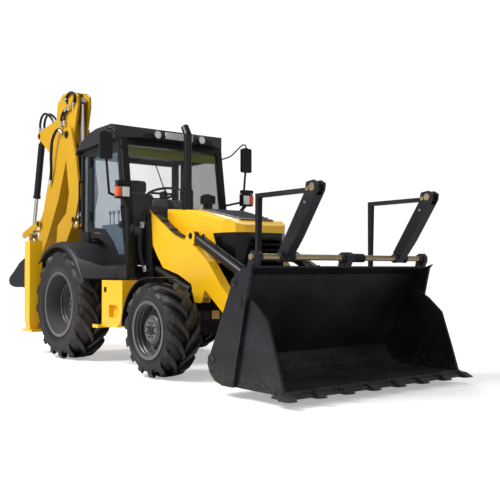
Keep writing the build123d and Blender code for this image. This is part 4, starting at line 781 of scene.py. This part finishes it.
def seat():
    """Sprung base with bellows, cushion, backrest and headrest, in place of the plain seat."""
    bm = bmesh.new()
    bar(bm, at(0.18, -0.17, 1.19), at(0.48, 0.17, 1.24), 0.01)
    folds, fold = 5, 0.05
    for i in range(folds):
        inset = 0.012 * (i % 2)
        low = at(0.2 + inset, -0.15 + inset, 1.24 + i * fold)
        high = at(0.46 - inset, 0.15 - inset, 1.29 + i * fold)
        bar(bm, low, high, 0.012)
    bar(bm, at(0.13, -0.2, 1.485), at(0.56, 0.2, 1.52), 0.012)
    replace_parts(piece("seat_base", bm, "base", "dark_plastic"), "seat")
    cushion("seat_cushion", at(0.12, -0.245, 1.51), at(0.595, 0.245, 1.63), 0.14)
    cushion("seat_back", at(0.11, -0.225, 1.6), at(0.21, 0.225, 2.1), 0.16, -0.1)
    cushion("head_rest", at(0.045, -0.13, 2.09), at(0.12, 0.13, 2.26), 0.2)


mirror_arms()
screen_band()
wiper()
grab_rails()
door_handles()
dash()
seat()


# Hood, stacks and tanks

HOOD_TOP, HOOD_SLOPE = (2.0, 1.745), -0.2232


def hood_z(x):
    """Height of the hood's sloping top."""
    return HOOD_TOP[1] + (x - HOOD_TOP[0]) * HOOD_SLOPE


def hood_vent():
    """Grey vent panel on the hood's top with cross louvres."""
    bm = bmesh.new()
    x0, x1, half = 1.99, 2.58, 0.28
    tip = half * 0.8
    louvres, pitch, blade, foot = 7, 0.074, 0.045, 0.008
    corners = [at(x, y, hood_z(x) - 0.002) for x, y in ((x0, -half), (x1, -tip), (x1, tip), (x0, half))]
    slab(bm, corners, (0.003, 0, 0.013), 0.005)
    for i in range(louvres):
        x = x0 + 0.05 + i * pitch
        y = half * (0.82 - 0.02 * i)
        crest = [at(x, -y, hood_z(x) + foot), at(x + blade, -y, hood_z(x + blade) + foot),
                 at(x + 0.04, -y, hood_z(x) + 0.02)]
        slab(bm, crest, (0, 2 * y, 0), 0.002)
    piece("hood_vent", bm, "base", "dark_plastic", VENT_GREY)


def stack_trim():
    """Clamps on the exhaust and the ribbed cap of the air pre-cleaner."""
    bm = bmesh.new()
    x, y = 1.735, -0.315
    for z, radius in ((1.8, 0.062), (1.94, 0.062), (2.0, 0.045), (2.45, 0.045)):
        low, high = radius - 0.002, radius + 0.005
        band = [(low, 0.0), (high, 0.0), (high, 0.022), (low, 0.022)]
        ring(bm, band + band[:1], at(x, y, z), (0, 0, 1), 32)
        bar(bm, at(x - 0.008, y - radius - 0.02, z + 0.003), at(x + 0.008, y - radius, z + 0.019), 0.002)
    dome = [(TINY, 0.03), (0.03, 0.028), (0.06, 0.018), (0.08, 0.004), (0.084, -0.002)]
    x, y, radius, ribs = 1.54, 0.1, 0.086, 16
    ring(bm, dome, at(x, y, 1.95), (0, 0, 1), 40)
    for i in range(ribs):
        turn = TURN * i / ribs
        foot = at(x + radius * math.cos(turn), y + radius * math.sin(turn), 1.87)
        strut(bm, foot, foot + Vector((0, 0, 0.07)), 0.004, 6)
    piece("stack_trim", bm, "base", "black_metal")


def tank_trim():
    """Anti-slip ribs on the steps and tanks, and a filler cap and a latch on each tank."""
    bm = bmesh.new()
    step_foot, step_top, step_ribs = 0.468, 0.476, 6
    tank_foot, tank_top, tank_ribs = 0.973, 0.981, 9
    for _, s in SIDES:
        for i in range(step_ribs):
            x = 0.812 + i * 0.02
            bar(bm, at(x, s * 0.825, step_foot), at(x + 0.009, s * 0.995, step_top), 0.002)
        for i in range(tank_ribs):
            y = s * (0.64 + i * 0.034)
            bar(bm, at(0.95, y, tank_foot), at(1.26, y + 0.012, tank_top), 0.002)
        cone(bm, at(1.33, s * 0.76, 0.974), (0, 0, 1), 0.05, 0.046, 0.03, 24)
        bar(bm, at(1.29, s * 0.752, 1.0), at(1.37, s * 0.768, 1.012), 0.003)
        bar(bm, at(0.99, s * 0.949, 0.84), at(1.04, s * 0.957, 0.9), 0.003)
    piece("tank_trim", bm, "base", "black_metal")


hood_vent()
stack_trim()
tank_trim()


# Loader trim, and what closes the cab from below

SHAFT = (3.885, 1.205)
TEETH, TEETH_SPAN = 8, 2.26


def bucket_trim():
    """Bolts through the cutting edge of the jaw, two beside each tooth."""
    bm = bmesh.new()
    first, step = -TEETH_SPAN / 2, TEETH_SPAN / (TEETH - 1)
    edge_x, edge_z = 4.285, 0.112
    for i in range(TEETH):
        for shift in (-0.018, 0.018):
            hex_bolt(bm, at(edge_x, first + i * step + shift, edge_z), (0, 0, 1), 0.022)
    piece("edge_bolts", bm, "bucket_jaw", "bucket_steel", FINISH["engine_iron"])


def shaft_trim():
    """Collars beside the forks and bearings, and the spring that holds the forks."""
    bm = bmesh.new()
    collar = [(0.026, -0.014), (0.042, -0.014), (0.045, -0.01), (0.045, 0.01), (0.042, 0.014), (0.026, 0.014)]
    for y in (-1.04, -0.81, -0.67, -0.06, 0.06, 0.67, 0.81, 1.04):
        ring(bm, collar, at(SHAFT[0], y, SHAFT[1]), (0, 1, 0), 28)
        hex_bolt(bm, at(SHAFT[0], y, SHAFT[1] + 0.044), (0, 0, 1), 0.016)
    wire, spring, coils, first, pitch = 0.006, 0.036, 9, 0.085, 0.016
    angles = [k * math.pi / 4 for k in range(9)]
    coil = [(spring + wire * math.cos(a), wire * math.sin(a)) for a in angles]
    for i in range(coils):
        ring(bm, coil, at(SHAFT[0], first + i * pitch, SHAFT[1]), (0, 1, 0.12), 24)
    piece("shaft_trim", bm, "bucket_back", "black_metal")


def cylinder_pipes(name, body, base, tip, share, radius, planes, upward):
    """Port bosses near both ends of a barrel, joined by a steel pipe along it."""
    bm = bmesh.new()
    base, tip = [Vector((p[0], 0, p[1])) for p in (base, tip)]
    axis = (tip - base).normalized()
    out = Vector((-axis.z, 0, axis.x)) * upward
    first, last = 0.15, (tip - base).length * share - 0.06
    pipe, clip_r = 0.0075, 0.014
    for y in planes:
        start = at(base.x, y, base.z)
        ports = [start + axis * d for d in (first, last)]
        for port in ports:
            cone(bm, port + out * (radius - 0.004), out, 0.018, 0.015, 0.028, 16)
            hex_bolt(bm, port + out * (radius + 0.022), out, 0.026)
        lift = out * (radius + 0.014)
        strut(bm, ports[0] + lift, ports[1] + lift, pipe, 12)
        for step in (0.35, 0.65):
            clip = ports[0].lerp(ports[1], step) + out * (radius - 0.002)
            cone(bm, clip, out, clip_r, clip_r, 0.026, 6)
    piece(name, bm, body, "black_metal")


def arm_pipes():
    """Steel pipes clipped along the top edge of each loader arm, from the pivot to the tilt cylinder."""
    bm = bmesh.new()
    route = ((1.285, 1.787), (1.3, 1.786), (1.805, 1.492), (1.95, 1.443))
    pipe, clip_y = 0.008, 0.45
    for _, s in SIDES:
        for y in (0.462, LOADER_Y, 0.528):
            line = [at(x, s * y, z) for x, z in route]
            for here, there in zip(line, line[1:]):
                strut(bm, here, there, pipe, 12)
        ends = [at(x, s * clip_y, z) for x, z in route[1:3]]
        for share in (0.15, 0.5, 0.85):
            clip = ends[0].lerp(ends[1], share)
            bar(bm, clip + Vector((-0.014, 0, -0.016)), clip + Vector((0.014, s * 0.09, 0.012)), 0.003)
    piece("arm_pipes", bm, "loader_arms", "black_metal", HOSE_BLACK)


def fender_skirts():
    """Sheets that carry each mudguard's outer edge forward to the valance below the cab."""
    bm = bmesh.new()
    edge = ((0.69, 1.078, 0.992), (1.06, 0.834, 0.992), (1.06, 0.834, 1.138), (0.8, 0.9, 1.138),
            (0.52, 1.078, 1.24))
    for _, s in SIDES:
        slab(bm, [at(x, s * y, z) for x, y, z in edge], (0, -s * 0.02, 0), 0.004)
    piece("fender_skirts", bm, "base", "dark_plastic")


def underbody():
    """Ribbed gearbox housing under the cab floor, and rubber seals between the cab and the mudguards."""
    bm = bmesh.new()
    bar(bm, at(-0.05, -0.34, 0.95), at(1.5, 0.34, 1.14), 0.02)
    ribs, step, reach = 8, 0.18, 0.352
    for i in range(ribs):
        bar(bm, at(0.05 + i * step, -reach, 0.96), at(0.07 + i * step, reach, 1.13), 0.004)
    piece("gearbox", bm, "base", "engine_iron")
    bm = bmesh.new()
    for _, s in SIDES:
        bar(bm, at(0.2, s * 0.62, 1.134), at(1.17, s * 0.742, 1.156), 0.006)
        bar(bm, at(-0.03, s * 0.7, 1.36), at(0.168, s * 0.735, 1.56), 0.006)
    piece("cab_seals", bm, "base", "black_metal", HOSE_BLACK)


bucket_trim()
shaft_trim()
arm_pipes()
fender_skirts()
underbody()
cylinder_pipes("tilt_pipes", "tilt_barrels", TILT_BASE, TILT_TIP,
               share=0.725, radius=0.052, planes=(LOADER_Y, -LOADER_Y), upward=1.0)
cylinder_pipes("hoe_pipes", "hoe_barrel", DIG_BASE, DIG_TIP,
               share=0.62, radius=0.048, planes=(HOE_Y,), upward=-1.0)


# Hoses of the backhoe and of the loader towers

def hose(name, points, radius, body):
    """A hydraulic hose on a smooth curve with crimped ends, free between its two fittings."""
    curve = bpy.data.curves.new(name, "CURVE")
    curve.dimensions = "3D"
    curve.bevel_depth = radius
    curve.bevel_resolution = 4
    curve.resolution_u = 10
    curve.use_fill_caps = True
    spline = curve.splines.new("BEZIER")
    spline.bezier_points.add(len(points) - 1)
    for knot, point in zip(spline.bezier_points, points):
        knot.co = point
        knot.handle_left_type = knot.handle_right_type = "AUTO"
    thing = bpy.data.objects.new(name, curve)
    bpy.context.scene.collection.objects.link(thing)
    curve.materials.append(HOSE_BLACK)
    bpy.context.view_layer.update()
    ends = bmesh.new()
    crimp, nut = radius * 1.35, radius * 1.7
    for here, there in ((points[0], points[1]), (points[-1], points[-2])):
        way = (there - here).normalized()
        strut(ends, here - way * 0.012, here + way * 0.05, crimp, 16)
        cone(ends, here - way * 0.02, way, nut, nut, 0.022, 6)
    fittings = piece(f"{name}_fittings", ends, body, "rod_chrome")
    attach(thing, body)


def crown_hoses():
    """Hoses on the dipper's right side: over the crown, up the side, and to the bucket cylinder's bracket."""
    near, far = HOE_Y - 0.122, HOE_Y - 0.175
    apart, bracket = 0.09, 0.032
    over = ((-0.76, 3.39), (-0.6, 3.45), (-0.48, 3.38), (-0.53, 3.27))
    hose("crown_loop", [at(x, near, z) for x, z in over], 0.018, "dipper")
    drop = ((-0.62, 3.25), (-0.73, 3.21), (-0.78, 3.14), (-0.77, 3.05))
    for i in (0, 1):
        hose(f"crown_drop_{i}", [at(x - apart * i, near - 0.005, z) for x, z in drop], 0.016, "dipper")
    run = ((-1.22, near, 2.3), (-1.15, near - 0.02, 2.45), (-1.08, far, 2.7), (-1.0, far, 2.92),
           (-0.92, near - 0.02, 3.0), (-0.86, near, 2.95))
    hose("side_run", [at(*point) for point in run], 0.02, "dipper")
    loop = ((-1.3, 3.16), (-1.5, 3.3), (-1.68, 3.33), (-1.78, 3.22), (-1.77, 3.1))
    for i in (0, 1):
        y = HOE_Y - bracket + 2 * bracket * i
        hose(f"bracket_loop_{i}", [at(x, y, z) for x, z in loop], 0.017, "dipper")


def tower_hoses():
    """Hoses beside the loader towers, in front of the cab."""
    drop = ((1.215, 0.592, 1.62), (1.2, 0.615, 1.45), (1.215, 0.615, 1.25), (1.26, 0.592, 1.09))
    for label, s in SIDES:
        for i in (0, 1):
            line = [at(x + 0.035 * i, s * y, z) for x, y, z in drop]
            hose(f"tower_hose_{label}_{i}", line, 0.014, "base")


crown_hoses()
tower_hoses()


# Stage: camera at the photograph's view, pale floor, soft light

WHITE = (1.0, 1.0, 1.0, 1.0)
CAMERA_AT, CAMERA_LENS = at(8.938, -5.168, 1.104), 55.9
CAMERA_YAW, CAMERA_PITCH = math.radians(141.433), math.radians(1.386)
LIGHT_SIZE = 4.0
FLOOR_SIZE = 60.0
FLOOR_GLOW, FAR_GLOW, FADE_FROM, FADE_TO = 0.38, 0.4, 3.5, 11.0
SKY_LIGHT, SKY_SEEN = 0.4, 0.65

camera = bpy.data.objects.new("camera", bpy.data.cameras.new("camera"))
bpy.context.scene.collection.objects.link(camera)
camera.data.sensor_width = 36.0
camera.data.lens = CAMERA_LENS
camera.location = CAMERA_AT
level = math.cos(CAMERA_PITCH)
look = Vector((math.cos(CAMERA_YAW) * level, math.sin(CAMERA_YAW) * level, math.sin(CAMERA_PITCH)))
camera.rotation_euler = look.to_track_quat("-Z", "Y").to_euler()
bpy.context.scene.camera = camera

floor_mesh = bpy.data.meshes.new("floor")
floor_bm = bmesh.new()
bmesh.ops.create_grid(floor_bm, x_segments=1, y_segments=1, size=FLOOR_SIZE)
floor_bm.to_mesh(floor_mesh)
floor_bm.free()
floor = bpy.data.objects.new("floor", floor_mesh)
bpy.context.scene.collection.objects.link(floor)
floor_white, floor_tree, floor_surface = blank("floor_white")
floor_seen = floor_tree.add("LightPath").outputs["Is Camera Ray"]
floor_far = floor_tree.add("VectorMath", {0: floor_tree.place()}, operation="LENGTH").outputs["Value"]
floor_fade = floor_tree.rise(floor_far, FADE_FROM, FADE_TO)
floor_glow = floor_tree.math("ADD", FLOOR_GLOW, floor_tree.math("MULTIPLY", floor_fade, FAR_GLOW))
fill(floor_tree, floor_surface, {"Base Color": (0.85, 0.85, 0.86, 1.0), "Roughness": 0.95,
                                 "Specular IOR Level": 0.0, "Emission Color": WHITE,
                                 "Emission Strength": floor_tree.math("MULTIPLY", floor_glow, floor_seen)})
floor_mesh.materials.append(floor_white)

world = bpy.data.worlds.new("studio")
bpy.context.scene.world = world
world.use_nodes = True
sky = Tree(world.node_tree)
path = sky.add("LightPath")
seen = sky.math("ADD", path.outputs["Is Camera Ray"], path.outputs["Is Transmission Ray"], clamp=True)
backdrop = world.node_tree.nodes["Background"]
backdrop.inputs[0].default_value = WHITE
sky.join(backdrop.inputs[1], sky.math("ADD", SKY_LIGHT, sky.math("MULTIPLY", seen, SKY_SEEN)))


def area_light(name, place, target, power):
    """A square light that looks from a place at a target."""
    lamp = bpy.data.lights.new(name, "AREA")
    lamp.energy = power
    lamp.size = LIGHT_SIZE
    light = bpy.data.objects.new(name, lamp)
    light.location = place
    light.rotation_euler = (Vector(target) - Vector(place)).to_track_quat("-Z", "Y").to_euler()
    bpy.context.scene.collection.objects.link(light)


area_light("key", (-1.5, -7.0, 8.0), (0, 0, 1.2), 1100)
area_light("fill", (8.0, -1.0, 4.0), (0, 0, 1.2), 60)
area_light("back", (-6.0, 5.0, 7.0), (0, 0, 1.5), 350)
bpy.context.scene.view_settings.view_transform = "Standard"
